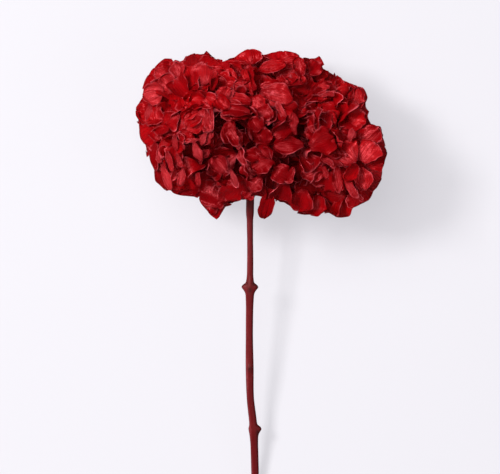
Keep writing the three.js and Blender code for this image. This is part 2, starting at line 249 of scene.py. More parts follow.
# Sepals that the photograph shows one by one. Places are in its own pixels: claw x, y, tip x, y,
# and width; then in mm how far claw and tip stand over the head; then how far the sepal leans
# to the right and to the top of the picture; and how deep it is cupped
LAID_SEPALS = [
    # the face-on floret at the right, and what stands round it
    (366, 142, 382, 130, 18, 4, 2, 0.1, 0.2, 0.3), (362, 178, 374, 191, 17, 1, -1, 0.2, -0.2, 0.5),
    # upper right
    (352, 108, 362, 88, 24, 1, -2, 0.25, 0.2, 0.5), (340, 99, 346, 81, 24, 2, 0, 0.35, 0.4, 0.5),
    (344, 96, 356, 86, 18, 2, -1, 0.35, 0.4, 0.5), (330, 90, 337, 74, 22, 2, -1, 0.3, 0.5, 0.5),
    (350, 118, 366, 110, 18, 1, -3, 0.4, 0.2, 0.3), (355, 132, 366, 120, 19, 2, -1, 0.25, 0.2, 0.4),
    (360, 124, 350, 103, 21, 3, 6, 0.5, 0, 1.0), (344, 124, 338, 101, 20, 4, 7, -0.3, 0.1, -0.5),
    (354, 131, 343, 116, 15, 4, 8, -1.3, 0.4, 0.4), (313, 82, 321, 68, 21, 1, -1, 0.1, 0.5, 0.4),
    (314, 74, 319, 56, 16, 0, -3, 0, 0.35, 0.2), (301, 84, 302, 63, 24, 1, 2, 0.2, 0.4, 0.9),
    (305, 98, 333, 92, 17, 4, 6, 0, 0.6, 0.4), (314, 93, 330, 86, 14, 5, 7, -0.1, 0.4, -0.6),
    (302, 104, 328, 100, 17, 3, 5, 0, 0.6, 0.4), (336, 122, 321, 108, 18, 4, 6, -0.15, 0.1, 0.4),
    (318, 100, 342, 104, 16, 2, 3, 0.3, 0.5, 0.4),
    # the top, where sepals lie over one another like shingles
    (264, 76, 264, 56, 22, 1, 0, 0, 0.5, 0.3), (232, 84, 214, 70, 22, 2, 2, -0.1, 0.5, 0.3),
    (278, 68, 302, 78, 19, 4, 5, -0.1, 0.5, 0.3), (273, 83, 305, 84, 19, 3, 5, 0, 0.5, 0.3),
    (256, 96, 245, 70, 15, 4, 7, -0.5, 0.4, 0.4), (211, 81, 237, 84, 21, 3, 6, 0, 0.5, 0.3),
    (220, 69, 240, 76, 18, 2, 4, 0, 0.6, 0.3), (308, 88, 292, 99, 17, 5, 7, -0.1, 0.3, 0.3),
    (256, 107, 270, 121, 16, 4, 6, -0.1, 0.3, 0.4), (231, 113, 218, 102, 15, 5, 8, -0.3, 0.3, 0.5),
    (253, 107, 226, 103, 16, 4, 6, -0.05, 0.6, 0.3), (253, 117, 222, 113, 19, 4, 6, -0.05, 0.5, 0.3),
    (252, 120, 230, 119, 13, 3, 5, -0.05, 0.9, 0.4), (293, 131, 281, 112, 15, 4, 7, -0.4, 0.2, 0.4),
    (313, 138, 315, 110, 19, 4, 9, -0.5, 0.1, 0.8),
    # upper left, where the light falls on broad and satin sepals
    (197, 80, 195, 54, 27, 2, -2, -0.15, 0.4, 0.3), (204, 78, 214, 58, 22, 1, -2, 0, 0.4, 0.3),
    (203, 64, 208, 50, 8, 0, -3, 0, 0.5, 0.5), (179, 82, 178, 60, 19, 2, -2, -0.2, 0.4, 0.3),
    (168, 82, 165, 59, 19, 1, -4, -0.3, 0.4, 0.3), (164, 84, 152, 68, 20, 1, -3, -0.5, 0.4, -0.3),
    (194, 99, 187, 73, 25, 4, 6, -0.15, 0.1, -0.3), (158, 94, 146, 78, 17, 1, -4, -0.6, 0.3, 0.3),
    (155, 112, 136, 111, 27, 1, -6, -0.6, 0, -0.4), (157, 127, 142, 143, 25, 1, -5, -0.5, -0.2, -0.3),
    (154, 134, 146, 146, 15, 0, -5, -0.6, -0.2, -0.3), (182, 106, 164, 87, 25, 1, 3, 0.25, 0.1, 0.5),
    (192, 106, 178, 85, 22, 3, 5, 0, 0.1, 0.3), (210, 100, 187, 104, 23, 4, 8, 0.25, 0.1, 0.9),
    (203, 111, 184, 123, 25, 3, 7, 0.35, 0, 1.0), (208, 120, 188, 131, 19, 4, 8, 0.1, -0.2, 0.7),
    (206, 107, 205, 131, 17, 5, 8, -0.35, 0, -0.6), (212, 104, 212, 134, 17, 4, 7, -1.6, 0.1, 0.4),
    (197, 96, 215, 110, 18, 5, 7, 0.1, 0.3, 0.3), (183, 117, 167, 126, 20, 3, 4, -0.15, 0, 0.4),
    (172, 132, 158, 128, 18, 3, 3, -0.3, 0, 0.5), (180, 134, 194, 142, 18, 2, 5, 0, 0.1, 0.5),
    (212, 95, 213, 82, 12, 4, 8, 0.2, 0, 1.3),
    # lower left: sepals that stand on edge
    (158, 141, 154, 171, 18, -2, -7, -0.9, 0, 0.3), (159, 161, 164, 190, 18, -3, -7, -0.8, -0.2, 0.3),
    (163, 138, 176, 145, 14, 3, 5, -0.6, 1.2, 0.6), (201, 193, 187, 180, 15, 3, 6, -0.5, 0.6, 0.4),
    (202, 192, 214, 183, 13, 3, 6, -0.3, 0.6, 0.5), (196, 183, 170, 189, 20, 0, -3, -0.25, -0.5, 0.3),
    (203, 187, 180, 195, 17, -1, -5, -0.1, -0.7, 0.3),
    # the foot, with the sepals that hang below it
    (214, 188, 219, 221, 21, -4, -12, -0.2, -0.15, 0.3),
    (202, 186, 213, 214, 19, -3, -9, -0.2, -0.2, 0.3), (240, 184, 226, 199, 24, 0, -4, -0.1, -0.3, 0.4),
    (246, 178, 248, 199, 21, 1, -3, -0.2, -0.1, -0.4),
    (272, 186, 264, 219, 17, -3, -9, -0.15, -0.2, 0.3), (285, 180, 278, 199, 23, 0, -4, 0.2, -0.3, 0.4),
    (305, 188, 297, 212, 24, -2, -7, -0.1, -0.3, 0.3), (316, 194, 317, 216, 27, -2, -7, 0, -0.3, 0.4),
    (341, 194, 342, 219, 28, -2, -7, 0, -0.3, 0.4), (337, 202, 330, 218, 11, -3, -7, -0.4, -0.2, 0.4),
    (349, 194, 359, 207, 19, -1, -5, 0.2, -0.4, 0.4), (356, 184, 369, 200, 23, 0, -5, 0.4, -0.3, 0.4),
    (314, 201, 313, 180, 29, 2, 6, 0.1, 0, 0.7), (329, 196, 322, 181, 17, 2, 5, 0.3, 0, 0.7),
    # the middle
    (239, 148, 230, 126, 19, 3, 9, -0.7, 0.1, 0.6), (227, 127, 239, 148, 17, 3, 9, 0.2, -0.1, 0.6),
    (239, 146, 248, 165, 17, 3, 8, -1.4, -0.4, 0.5), (263, 160, 245, 156, 15, 4, 8, -0.2, 0.4, 0.5),
    (271, 162, 257, 146, 12, 6, 11, -1.0, 1.0, 0.5), (273, 171, 266, 148, 17, 4, 8, -0.9, 0.2, 0.5),
    (275, 160, 253, 170, 20, 5, 8, -0.1, 0.15, 0.4), (305, 148, 274, 148, 19, 6, 9, -0.05, 0.4, 0.4),
    (306, 151, 331, 140, 26, 5, 8, -0.05, 0.15, -0.3), (299, 153, 310, 172, 27, -4, -1, 0.4, 0.1, 1.0),
    (332, 141, 305, 133, 18, 4, 7, -0.1, 0.4, 0.4), (291, 120, 274, 138, 25, 1, 6, 0.5, 0, 1.1),
    (266, 147, 264, 130, 15, 2, 6, -0.1, 0.2, 0.6), (262, 136, 252, 121, 17, 2, 5, 0, 0.2, 0.6),
    (232, 191, 219, 182, 14, 3, 6, -0.4, 0.7, 0.4), (291, 183, 273, 171, 20, 3, 6, -0.05, 0.1, 0.5),
    (290, 192, 303, 178, 14, 4, 8, -1.3, -0.9, 0.5), (250, 183, 246, 165, 13, 3, 7, -1.6, 0.2, 0.4),
    (293, 167, 287, 184, 15, 3, 7, -1.6, -0.2, 0.4), (263, 183, 256, 197, 16, 0, -2, 0.2, -0.1, 0.4),
]
# Sepals that lie open to the camera and to the light: the same, but with the claw's height in mm over
# the ground in place of the two heights over the head; and, last, how pale it is, which is partly its
# paler back and partly painted highlight where the light catches it
OPEN_SEPALS = [
    # the face-on floret at the right, and what stands round it
    (359, 146, 379, 128, 23, 113, -0.1, 0.15, 0.2, 0), (366, 152, 387, 152, 22, 112, 0, 0.1, 0.2, 0.03),
    (366, 162, 380, 179, 19, 116, -0.1, 0, 0.2, 0.09), (358, 182, 371, 200, 18, 97, 0.2, -0.1, 0.2, 0),
    (350, 192, 357, 208, 18, 98, 0.1, -0.2, 0.2, 0), (365, 172, 379, 190, 18, 104, 0.1, 0, 0.2, 0.1),
    (357, 165, 337, 147, 34, 124, -0.15, 0.1, 0.2, 0.05),
    (360, 163, 375, 143, 26, 122, -0.25, 0.05, 0.15, 0.07),
    (360, 165, 365, 190, 20, 121, -0.15, 0, 0.4, 0.04), (358, 163, 344, 181, 14, 122, 0.8, 0.4, 0.4, 0),
    (349, 143, 352, 129, 11, 125, -0.3, 0.1, -0.8, 0.21),
    (344, 176, 357, 198, 9, 127, -0.5, 0.1, 0.35, 0.09),
    (337, 163, 339, 193, 11, 126, -0.5, 0.1, 0.35, 0.01), (364, 165, 385, 162, 17, 113, 0, 0, 0.2, 0),
    (321, 158, 333, 166, 7, 129, -0.4, 1, 0.35, 0.12),
    # upper right
    (355, 114, 358, 88, 18, 97, -0.15, 0.15, 0.4, 0.02),
    (350, 128, 363, 111, 20, 106, -0.1, 0.1, 0.3, 0),
    (350, 101, 338, 123, 7, 113, -0.4, 0.1, 0.35, 0.08),
    (334, 102, 350, 100, 7, 112, -0.3, 0.8, 0.35, 0.06),
    (353, 101, 351, 88, 7, 101, -0.3, 0.3, 0.3, 0.1), (316, 89, 329, 87, 9, 107, -0.3, 0.6, 0.3, 0.12),
    (315, 94, 334, 95, 8, 109, -0.2, 0.8, 0.3, 0.08), (344, 100, 339, 84, 16, 96, 0.1, 0.1, 0.5, 0),
    (364, 133, 370, 119, 14, 103, -0.1, 0.1, 0.3, 0), (335, 126, 327, 112, 14, 117, -0.1, 0, 0.5, 0),
    (323, 165, 328, 179, 7, 132, -0.5, 0.1, 0.35, 0.03),
    # the crown
    (252, 66, 250, 49, 28, 92, -0.1, 0.4, 0.15, 0), (282, 66, 283, 51, 38, 90, 0, 0.4, 0.15, 0),
    (260, 70, 221, 64, 17, 97, -0.15, 0.3, 0.2, 0), (272, 68, 299, 57, 20, 98, -0.2, 0.3, 0.2, 0),
    (254, 71, 285, 64, 14, 101, -0.1, 0.35, 0.2, 0),
    (301, 61, 276, 75, 18, 101, -0.15, 0.15, 0.2, 0.05), (301, 78, 297, 58, 17, 103, 0.1, 0.2, 0.9, 0),
    (308, 77, 320, 62, 17, 97, 0, 0.4, 0.3, 0), (238, 83, 217, 70, 15, 105, 0.2, 0.6, 0.3, 0),
    (236, 76, 206, 72, 13, 102, 0, 0.7, 0.2, 0), (234, 86, 204, 82, 12, 107, 0, 0.7, 0.2, 0),
    (306, 84, 270, 82, 11, 103, 0, 0.7, 0.2, 0), (265, 73, 266, 88, 21, 102, -0.1, 0.1, -0.15, 0.06),
    (251, 90, 234, 84, 16, 112, -0.1, 0.1, 0.3, 0.04),
    (254, 98, 243, 69, 7, 115, -0.5, 0.1, 0.35, 0.04),
    (221, 105, 227, 87, 18, 124, -0.2, 0.1, 0.5, 0.06),
    (227, 104, 233, 90, 6, 127, -0.25, 0.1, 0.1, 0.27),
    (252, 105, 229, 104, 9, 125, -0.1, 0.5, 0.2, 0.06),
    (252, 111, 226, 110, 9, 127, -0.1, 0.5, 0.2, 0.06),
    (250, 117, 221, 115, 10, 129, -0.1, 0.5, 0.2, 0.03),
    (264, 114, 254, 97, 18, 128, -0.2, 0.1, -0.2, 0.04),
    (257, 91, 292, 100, 26, 119, -0.15, 0.15, 0.2, 0.03),
    (287, 121, 277, 102, 10, 131, -0.2, 0.1, 1.2, 0.12),
    (296, 137, 293, 113, 10, 137, -0.5, 0.1, 0.35, 0.06),
    (275, 123, 291, 121, 5, 132, -0.4, 1, 0.35, 0.06),
    # upper left
    (166, 91, 143, 95, 23, 104, -0.2, 0.1, 0.2, 0.15), (158, 99, 156, 128, 15, 103, -0.6, 0, -0.5, 0),
    (150, 101, 149, 126, 9, 97, -0.25, 0.08, -0.4, 0.15),
    (166, 82, 157, 69, 13, 104, -0.25, 0.1, 0.2, 0.15),
    (183, 80, 174, 62, 15, 104, -0.25, 0.1, 0.2, 0.09),
    (176, 93, 161, 77, 22, 106, -0.3, 0.15, -0.2, 0.12),
    (204, 87, 204, 63, 25, 110, -0.2, 0.15, -0.15, 0.06),
    (208, 100, 189, 103, 20, 125, 0.1, 0.1, 0.8, 0), (202, 112, 184, 122, 20, 124, 0.2, 0, 0.9, 0),
    (206, 107, 205, 132, 14, 129, -0.3, 0, -0.5, 0.03),
    # lower left, where the light catches sepals that stand on edge
    (159, 144, 160, 163, 7, 104, -0.35, 0.1, 0.35, 0.14),
    (166, 149, 173, 171, 7, 110, -0.35, 0.1, 0.35, 0.12),
    (161, 161, 171, 190, 9, 103, -0.35, 0.1, 0.35, 0.19),
    (176, 153, 182, 167, 6, 115, -0.35, 0.1, 0.35, 0.12),
    (184, 165, 180, 186, 9, 112, -0.35, 0.1, 0.35, 0.19),
    (193, 139, 201, 160, 9, 126, -0.35, 0.1, 0.35, 0.17),
    (207, 130, 201, 145, 7, 129, -0.35, 0.1, 0.35, 0.17),
    (201, 139, 185, 142, 6, 127, -0.4, 1, 0.35, 0.2), (226, 173, 212, 158, 22, 125, 0, 0.1, 0.9, 0.05),
    (198, 171, 199, 186, 6, 114, -0.35, 0.1, 0.35, 0.09),
    (229, 166, 238, 188, 7, 121, -0.35, 0.1, 0.35, 0.17),
    (235, 129, 239, 149, 6, 129, -0.35, 0.1, 0.35, 0.12),
    (175, 134, 176, 151, 6, 116, -0.35, 0.1, 0.35, 0.09),
    (214, 128, 203, 144, 13, 127, -0.3, 0.1, 0.4, 0.09),
    (211, 149, 200, 158, 10, 124, -0.3, 0.2, 0.4, 0.09),
    # the foot, beside the stem
    (263, 177, 250, 190, 16, 119, -0.15, 0, 0.3, 0.03),
    (254, 187, 244, 198, 14, 109, -0.15, -0.1, 0.3, 0.02),
    (240, 188, 229, 197, 13, 98, -0.2, -0.1, 0.3, 0),
]

# The stem's middle line from the head down to the cut end
STEM_ROUTE = [
    (-7.6, -44, 60.5),
    (-7.9, -60, 57),
    (-7.7, -92, 50.5),
    (-7.9, -111, 46.5),
    (-8.3, -143, 39.8),
    (-8.1, -171, 33.6),
    (-7.6, -193, 27.5),
    (-5.4, -214, 21.4),
    (-4.3, -243, 12.4),
    (-3.9, -275, 2.55),
]
# distance down the stem, radius
STEM_RADII = [
    (0, 2.9), (14, 2.85), (22, 2.3), (36, 2.15), (60, 2.3), (70, 3.15), (88, 2.65),
    (104, 2.6), (130, 2.9), (152, 2.65), (170, 2.8), (178, 3.25), (190, 2.8), (240, 2.7),
]
STEM_ROWS, STEM_SIDES = 420, 64
# distance down the stem, angle round it in degrees, height
LEAF_SCARS = [
    (69, 0, 3.3), (69, 180, 3.3), (129, 90, 0.9), (129, 270, 0.9), (176, 0, 2.9), (176, 180, 0.5),
]
SCAR_HOLLOW = 0.35
SCAR_ABOVE = 1.5
SCAR_BELOW = 3.6
SCAR_SPREAD = math.radians(34)
# Dark marks on the bark: distance down the stem, angle round it, half length, half width in degrees
BARK_MARKS = [
    (67.2, 320, 2.0, 30), (67.2, 220, 2.0, 30), (68.6, 0, 1.6, 26), (68.6, 180, 1.6, 26),
    (71.5, 270, 2.2, 30), (129.5, 270, 3.0, 20), (129.5, 90, 3.0, 20), (129, 185, 1.4, 20),
    (174.6, 0, 1.7, 34), (179, 320, 2.5, 22),
]
# painted highlight: the paler stripe lies on the stem's left side, where the light catches it
PALE_STRIPE = 212, 24  # a paler stripe down the stem: its middle and its half width, in degrees
# The cut end: its rim, the edge of the wood and the edge of the pith, as shares of the radius
CUT_RINGS = 0.98, 0.62, 0.58
RAYS = 7
RAY_SPREAD = math.radians(52)
RAY_LENGTH = 34.0
RAY_RADIUS = 1.7
RAY_ROWS = 10
PEDICEL_RADIUS = 0.55
PEDICEL_SHARES = 1.3, 1.2, 1.1, 1, 1, 1, 1.2  # of that radius, from the ray up to the floret
PEDICEL_DROP = 16.0  # how far below its floret a pedicel aims


# Directions, and random numbers that are the same each time


def unit(vectors):
    vectors = np.asarray(vectors, float)
    return vectors / np.linalg.norm(vectors, axis=-1, keepdims=True)


def smoothstep(low, high, x):
    t = np.clip((x - low) / (high - low), 0, 1)
    return t * t * (3 - 2 * t)


def wrapped(angle):
    """An angle as the same one within half a turn of 0."""
    return np.arctan2(np.sin(angle), np.cos(angle))


def angles_between(ways, others):
    return np.arccos(np.clip(ways @ np.atleast_2d(others).T, -1, 1))


def seeded(seed):
    """Repeatable random numbers from 0 to 1, the same as in the part's source."""
    state = seed * 7919 + 1

    def draw():
        nonlocal state
        state = state * 48271 % 2147483647
        return state / 2147483647

    return draw


def spread_of(draw):
    """Random numbers on both sides of 0, up to the amount that is asked for."""
    return lambda amount: amount * (2 * draw() - 1)


def drawn(spread, qualities):
    """A number for each quality, drawn round its middle value."""
    return {name: middle + spread(reach) for name, (middle, reach) in qualities.items()}


def spiral_ways(count):
    """Evenly spread directions on a sphere."""
    i = np.arange(count)
    height = 1 - (2 * i + 1) / count
    turn = i * math.pi * (3 - math.sqrt(5))
    ring = np.sqrt(1 - height**2)
    return np.stack([ring * np.cos(turn), ring * np.sin(turn), height], 1)


# The head's surface, and where the florets stand on it

rise_axis = np.array(
    [
        math.sin(HEAD_LEAN) * math.cos(HEAD_TILT),
        math.cos(HEAD_LEAN) * math.cos(HEAD_TILT),
        math.sin(HEAD_TILT),
    ]
)
across_axis = np.array([math.cos(HEAD_LEAN), -math.sin(HEAD_LEAN), 0.0])
front_axis = np.cross(across_axis, rise_axis)
head_axes = np.stack([across_axis, rise_axis, front_axis], 1)
cluster_ways = spiral_ways(CLUSTERS)
stem_top = np.array(STEM_ROUTE[0], float)
stem_way = unit(stem_top - HEAD_CENTRE)


def head_radius(ways):
    """Distance from the head's centre to the surface that carries the florets."""
    shares = (np.abs(ways @ head_axes) / HEAD_HALVES) ** HEAD_FULLNESS
    nearest = angles_between(ways, cluster_ways).min(1)
    radius = shares.sum(1) ** (-1 / HEAD_FULLNESS)
    radius -= CLUSTER_SWELL * np.minimum(1, nearest / CLUSTER_REACH) ** 2
    for way, height, reach in LUMPS:
        angle = angles_between(ways, unit(way))[:, 0]
        radius += height * (1 - smoothstep(0, math.radians(reach), angle))
    return radius


def on_head(ways, lift=0.0, share=1.0):
    reach = share * head_radius(ways) + lift
    return HEAD_CENTRE + ways * np.asarray(reach)[:, None]


def head_normals(ways):
    """Outward directions of the head's surface."""
    side = unit(np.cross(ways, rise_axis))
    over = np.cross(side, ways)
    probe = 0.12
    d_side = on_head(unit(ways + probe * side)) - on_head(unit(ways - probe * side))
    d_over = on_head(unit(ways + probe * over)) - on_head(unit(ways - probe * over))
    normals = unit(np.cross(d_side, d_over))
    return normals * np.sign((normals * ways).sum(1))[:, None]


def outside_stem(ways):
    """Moves directions out of the cone where the stem comes in."""
    angle = angles_between(ways, stem_way)[:, 0]
    side = unit(ways - np.outer(ways @ stem_way, stem_way))
    edge = math.cos(STEM_CLEAR) * stem_way + math.sin(STEM_CLEAR) * side
    return np.where((angle < STEM_CLEAR)[:, None], edge, ways)


def settled(fixed, count, spacing, draw, share=1.0):
    """Directions that push one another, and are pushed by the fixed ones, until they are even."""
    spread = spread_of(draw)
    jitter = np.array([spread(SETTLING_JITTER) for _ in range(3 * count)]).reshape(-1, 3)
    ways = np.concatenate([fixed, unit(spiral_ways(count) + jitter)])
    for _ in range(SETTLING_ROUNDS):
        places = on_head(ways, share=share)
        apart = places[:, None] - places[None]
        gap = np.linalg.norm(apart, axis=2)
        near = (gap > 0) & (gap <= spacing)
        strength = np.where(near, (spacing - gap) / np.where(near, gap, 1), 0)
        moved = places + SETTLING_PUSH * (apart * strength[..., None]).sum(1) - HEAD_CENTRE
        ways = np.concatenate([fixed, outside_stem(unit(moved))[len(fixed) :]])
    return ways


def stand_floret(place, normal, spin, size, **more):
    """A floret's place, and its own axes: two in the plane of its sepals and one out of its face."""
    normal = unit(normal)
    turned_up = UPWARD * smoothstep(-0.5, 0.1, normal[2]) * (1 - smoothstep(0.3, 0.9, normal[2]))
    normal = unit(normal + [0, 0, turned_up])
    side = unit(np.cross(normal, rise_axis))
    over = np.cross(normal, side)
    right = math.cos(spin) * side + math.sin(spin) * over
    axes = Matrix(np.stack([right, np.cross(normal, right), normal], 1).tolist())
    turn = axes.to_quaternion()
    return {"place": place, "normal": normal, "turn": turn, "spin": spin, "size": size, **more}


def source_florets():
    """The florets that the part's source has, drawn from the same random numbers."""
    ways = unit([way for way, *_ in SET_FLORETS])
    ways = settled(ways, FLORETS - len(ways), FLORET_SPACING, seeded(FLORET_SEED))
    normals = head_normals(ways)
    florets = []
    for index, way in enumerate(ways):
        draw = seeded(FLORET_SEED + index + 1)
        spread = spread_of(draw)
        tip = np.array([spread(FACING_JITTER) for _ in range(3)])
        place = on_head(way[None], spread(LIFT_JITTER))[0]
        if index == 0:
            place = np.array([0, 0, 1.0])  # the lowest one lies on the surface
        if index < len(SET_FLORETS):
            _, facing, degrees, size = SET_FLORETS[index]
            florets.append(stand_floret(place, facing, math.radians(degrees), size, way=way))
            continue
        spin = math.pi * draw()
        size = 1 + spread(SIZE_JITTER)
        florets.append(stand_floret(place, normals[index] + tip, spin, size, way=way))
    return florets


def more_florets(fixed, count, spacing, lift, share, tip, seed):
    """Florets that stand between, or inside, the ones whose directions are fixed."""
    draw = seeded(seed)
    spread = spread_of(draw)
    ways = settled(fixed, count, spacing, draw, share)[len(fixed) :]
    florets = []
    for way, normal in zip(ways, head_normals(ways)):
        place = on_head(way[None], lift + spread(MORE_LIFT_JITTER), share)[0]
        facing = normal + np.array([spread(tip), spread(tip), spread(tip)])
        spin = math.pi * draw()
        size = MORE_SIZE + spread(MORE_SIZE_JITTER)
        florets.append(stand_floret(place, facing, spin, size, way=way))
    return florets


# The photograph's frame: what stands where, and how it is kept inside the head's outline


def seen_at(x, y):
    """The place in mm where the camera, looking straight down, sees the head at a pixel."""
    across, up = ([x, y] - HEAD_PIXEL) * RIGHT_DOWN
    spot = np.array([across, up, HEAD_CENTRE[2]])
    # the highest place that is inside the head or, off its edge, inside it nearer to its middle
    heights = np.linspace(0, 80, 161)
    for nearer in np.linspace(1, 0.3, 60):
        column = np.tile((spot - HEAD_CENTRE) * nearer, (len(heights), 1))
        column[:, 2] = heights
        far = np.linalg.norm(column, axis=1)
        inside = far <= head_radius(column / np.maximum(far, 1)[:, None])
        if inside.any():
            spot[2] += heights[inside].max()
            return spot
    return spot


def under_pixel(x, y, height):
    """The place in mm at a height over the ground that the camera sees at a pixel."""
    from_axis = ([x, y] - VIEW / 2) * RIGHT_DOWN
    from_axis *= 1 - (height - HEAD_CENTRE[2]) / DISTANCE
    return np.append(CAMERA_AXIS + from_axis, height)


def outline_reach(spots):
    """How far the outline and the spots are from the outline's middle, and the way out to each."""
    corners = (np.array(OUTLINE) - OUTLINE_MIDDLE) * RIGHT_DOWN
    angles = np.arctan2(corners[:, 1], corners[:, 0])
    order = np.argsort(angles)
    spots = spots - (OUTLINE_MIDDLE - HEAD_PIXEL) * RIGHT_DOWN
    limit = np.interp(
        np.arctan2(spots[..., 1], spots[..., 0]),
        angles[order],
        np.linalg.norm(corners, axis=1)[order],
        period=2 * math.pi,
    )
    far = np.linalg.norm(spots, axis=-1)
    return limit, far, spots / np.maximum(far, 0.01)[..., None]


def held_inside(floret):
    """Moves a floret in towards the head's middle until its sepals keep inside the outline."""
    limit, far, outward = outline_reach(floret["place"][:2])
    facing_out = float(floret["normal"][:2] @ outward)
    reach = FLAT_REACH * math.sqrt(1 - facing_out**2) + FACE_REACH * max(0, facing_out)
    excess = np.clip(far + floret["size"] * reach - limit - OUTLINE_GAP, 0, HELD_AT_MOST)
    floret["place"] = floret["place"] - excess * np.append(outward, 0)


def tuck_in(piece):
    """Bends back what still stands out over the head's outline."""
    points = np.empty(3 * len(piece.data.vertices), np.float32)
    piece.data.vertices.foreach_get("co", points)
    points = points.reshape(-1, 3)
    nearer = DISTANCE / (DISTANCE - points[:, 2:] / MM + HEAD_CENTRE[2])
    limit, far, outward = outline_reach((points[:, :2] / MM - CAMERA_AXIS) * nearer + CAMERA_AXIS)
    over = np.maximum(0, far - limit)
    points[:, :2] -= (over * (1 - TUCK))[:, None] * outward * MM
    piece.data.vertices.foreach_set("co", points.ravel())
    piece.data.update()


def laid_back(floret):
    """Tilts the florets of the crown towards the top of the picture, so that they lie like shingles."""
    amount = SHINGLE * smoothstep(8, 30, floret["place"][1]) * smoothstep(0.2, 0.5, floret["way"][2])
    turned = stand_floret(floret["place"], floret["normal"] + [0, amount, 0], floret["spin"], 1)
    floret["normal"], floret["turn"] = turned["normal"], turned["turn"]


def sunk_in_hollows(floret):
    """Moves a floret on the side that is seen down into the dark hollow that it stands in."""
    x, y = floret["place"][:2] / RIGHT_DOWN + HEAD_PIXEL
    if floret["way"][2] > 0:
        for at_x, at_y, radius, depth in HOLLOWS:
            off = math.hypot(x - at_x, y - at_y) / radius
            floret["place"] = floret["place"] - depth * (1 - smoothstep(0.5, 1, off)) * floret["way"]


def settle_down(floret):
    """Sinks a floret under the single sepals, and keeps it in the outline."""
    _, y, _ = floret["place"]
    facing_up = floret["way"][2]
    sink = SEEN_SINK * smoothstep(0.15, 0.5, facing_up)
    sink += CROWN_SINK * smoothstep(10, 30, y) * smoothstep(0, 0.3, facing_up)
    floret["place"] = floret["place"] - sink * floret["way"]
    laid_back(floret)
    sunk_in_hollows(floret)
    held_inside(floret)


def dye_and_shade_at(place, draw):
    """How strong the red is, from 0 to 1: a floret's own chance tone, times painted shade that is
    darkest in the crowded middle of the head's front, where shade falls between the florets.
    """
    middle = (DARK_MIDDLE - HEAD_PIXEL) * RIGHT_DOWN
    off = np.linalg.norm((place[:2] - middle) / DARK_REACH)
    # painted shade, darkest in the crowded middle of the head's front
    by_place = DARK_BY_PLACE + (1 - DARK_BY_PLACE) * smoothstep(0.5, 1.3, off)
    return by_place * (DARK_BY_CHANCE + (1 - DARK_BY_CHANCE) * draw)


# One floret's own shape, and the sepals that are set one by one


def sepal_sheet(shape, rows, columns):
    """The middle surface of one sepal, as rows from its claw to its tip, with a map of it."""
    # along the sepal, with the rows closer together at both ends
    along = 0.5 - 0.5 * np.cos(np.pi * np.linspace(0.2, 0.965, rows))
    angle = shape["rise"] + shape["bend"] * along + shape["tip"] * along**4
    step = np.diff(along, prepend=0) * shape["length"]
    out = np.cumsum(np.cos(angle) * step)
    up = np.cumsum(np.sin(angle) * step)
    # across it, with small nicks in its outline
    half = 0.5 * shape["width"] * np.sin(np.pi * along ** shape["widest"]) ** shape["blunt"]
    t, a = np.meshgrid(along, np.linspace(-1, 1, columns), indexing="ij")
    phase = shape["phase"]
    edge_side = phase + 2.2 * np.sign(a)
    nicks = 1 + np.abs(a) * (0.12 * np.sin(7 * t + edge_side) + 0.06 * np.sin(19 * t + 3 * edge_side))
    aside = a * half[:, None] * nicks
    curl = 2 * shape["cup"] / shape["width"]
    sideways = np.sin(curl * aside) / curl
    # how far the face stands off its middle line: cup, keel, ruffled margin, rim, dent, pleats
    lift = (1 - np.cos(curl * aside)) / curl
    lift += max(0, shape.get("keel", 0)) * np.abs(aside) ** 1.3 / 3
    edge = np.abs(a) ** 2 * np.sin(np.pi * t) ** 0.5
    waves = np.sin(shape["waves"] * t + phase + 1.7 * np.sign(a))
    lift += shape["ruffle"] * edge * waves
    lift += 0.8 * shape["ruffle"] * t**5 * np.sin(5 * a + 2 * phase)
    lift += shape["rim"] * np.abs(a) ** 6
    lift += shape["dent"] * np.sin(3.1 * t + phase) * np.cos(2.2 * a + phase)
    lift += shape["pleat"] * t**1.3 * np.sin(shape["pleats"] * a + 1.5 * t + 3 * phase)
    # crumples in three directions, finer and finer
    for wave in (1, 2, 3):
        turned = phase * wave * 5
        run = aside * math.cos(turned) + out[:, None] * math.sin(turned)
        lift += shape["crumple"] / wave * np.sin(run * (0.32 + 0.17 * wave) + turned) * np.sqrt(t)
    twist = shape["twist"] * t
    sideways, lift = (
        sideways * np.cos(twist) - lift * np.sin(twist),
        sideways * np.sin(twist) + lift * np.cos(twist),
    )
    angle, out, up = angle[:, None], out[:, None], up[:, None]
    x = out - lift * np.sin(angle)
    z = up + lift * np.cos(angle)
    turn = shape.get("turn", 0)
    right = x * math.cos(turn) - sideways * math.sin(turn)
    over = x * math.sin(turn) + sideways * math.cos(turn)
    return np.stack([right, over, z], 2), np.stack(np.broadcast_arrays(0.5 + 0.5 * a, t), 2)


def closed_blade(sheet, marks):
    """A sheet with a front, a back and a rim: its points, faces and, for each face corner, its mark."""
    rows, columns = sheet.shape[:2]
    normals = unit(np.cross(np.gradient(sheet, axis=0), np.gradient(sheet, axis=1)))
    half = 0.5 * SEPAL_THICKNESS * normals
    points = np.concatenate([(sheet + half).reshape(-1, 3), (sheet - half).reshape(-1, 3)])
    at = np.arange(rows * columns).reshape(rows, columns)
    quads = np.stack([at[:-1, :-1], at[1:, :-1], at[1:, 1:], at[:-1, 1:]], 2).reshape(-1, 4)
    ring = np.concatenate([at[0, :-1], at[:-1, -1], at[-1, :0:-1], at[:0:-1, 0]])
    after = np.roll(ring, -1)
    rim = np.stack([ring, after, after + rows * columns, ring + rows * columns], 1)
    faces = np.concatenate([quads, quads[:, ::-1] + rows * columns, rim])
    marks = np.tile(marks.reshape(-1, 2), (2, 1))
    return points, faces, marks[faces.reshape(-1)]


def single_blade(shape, grid, claw, along, facing):
    """One sepal as a closed blade that runs from its claw along one direction and faces another."""
    sheet, marks = sepal_sheet({"rise": -shape["bend"] / 2, **shape}, *grid)
    side = unit(np.cross(facing, along))
    axes = np.stack([along, side, np.cross(along, side)])
    return closed_blade(sheet @ axes + claw, marks)


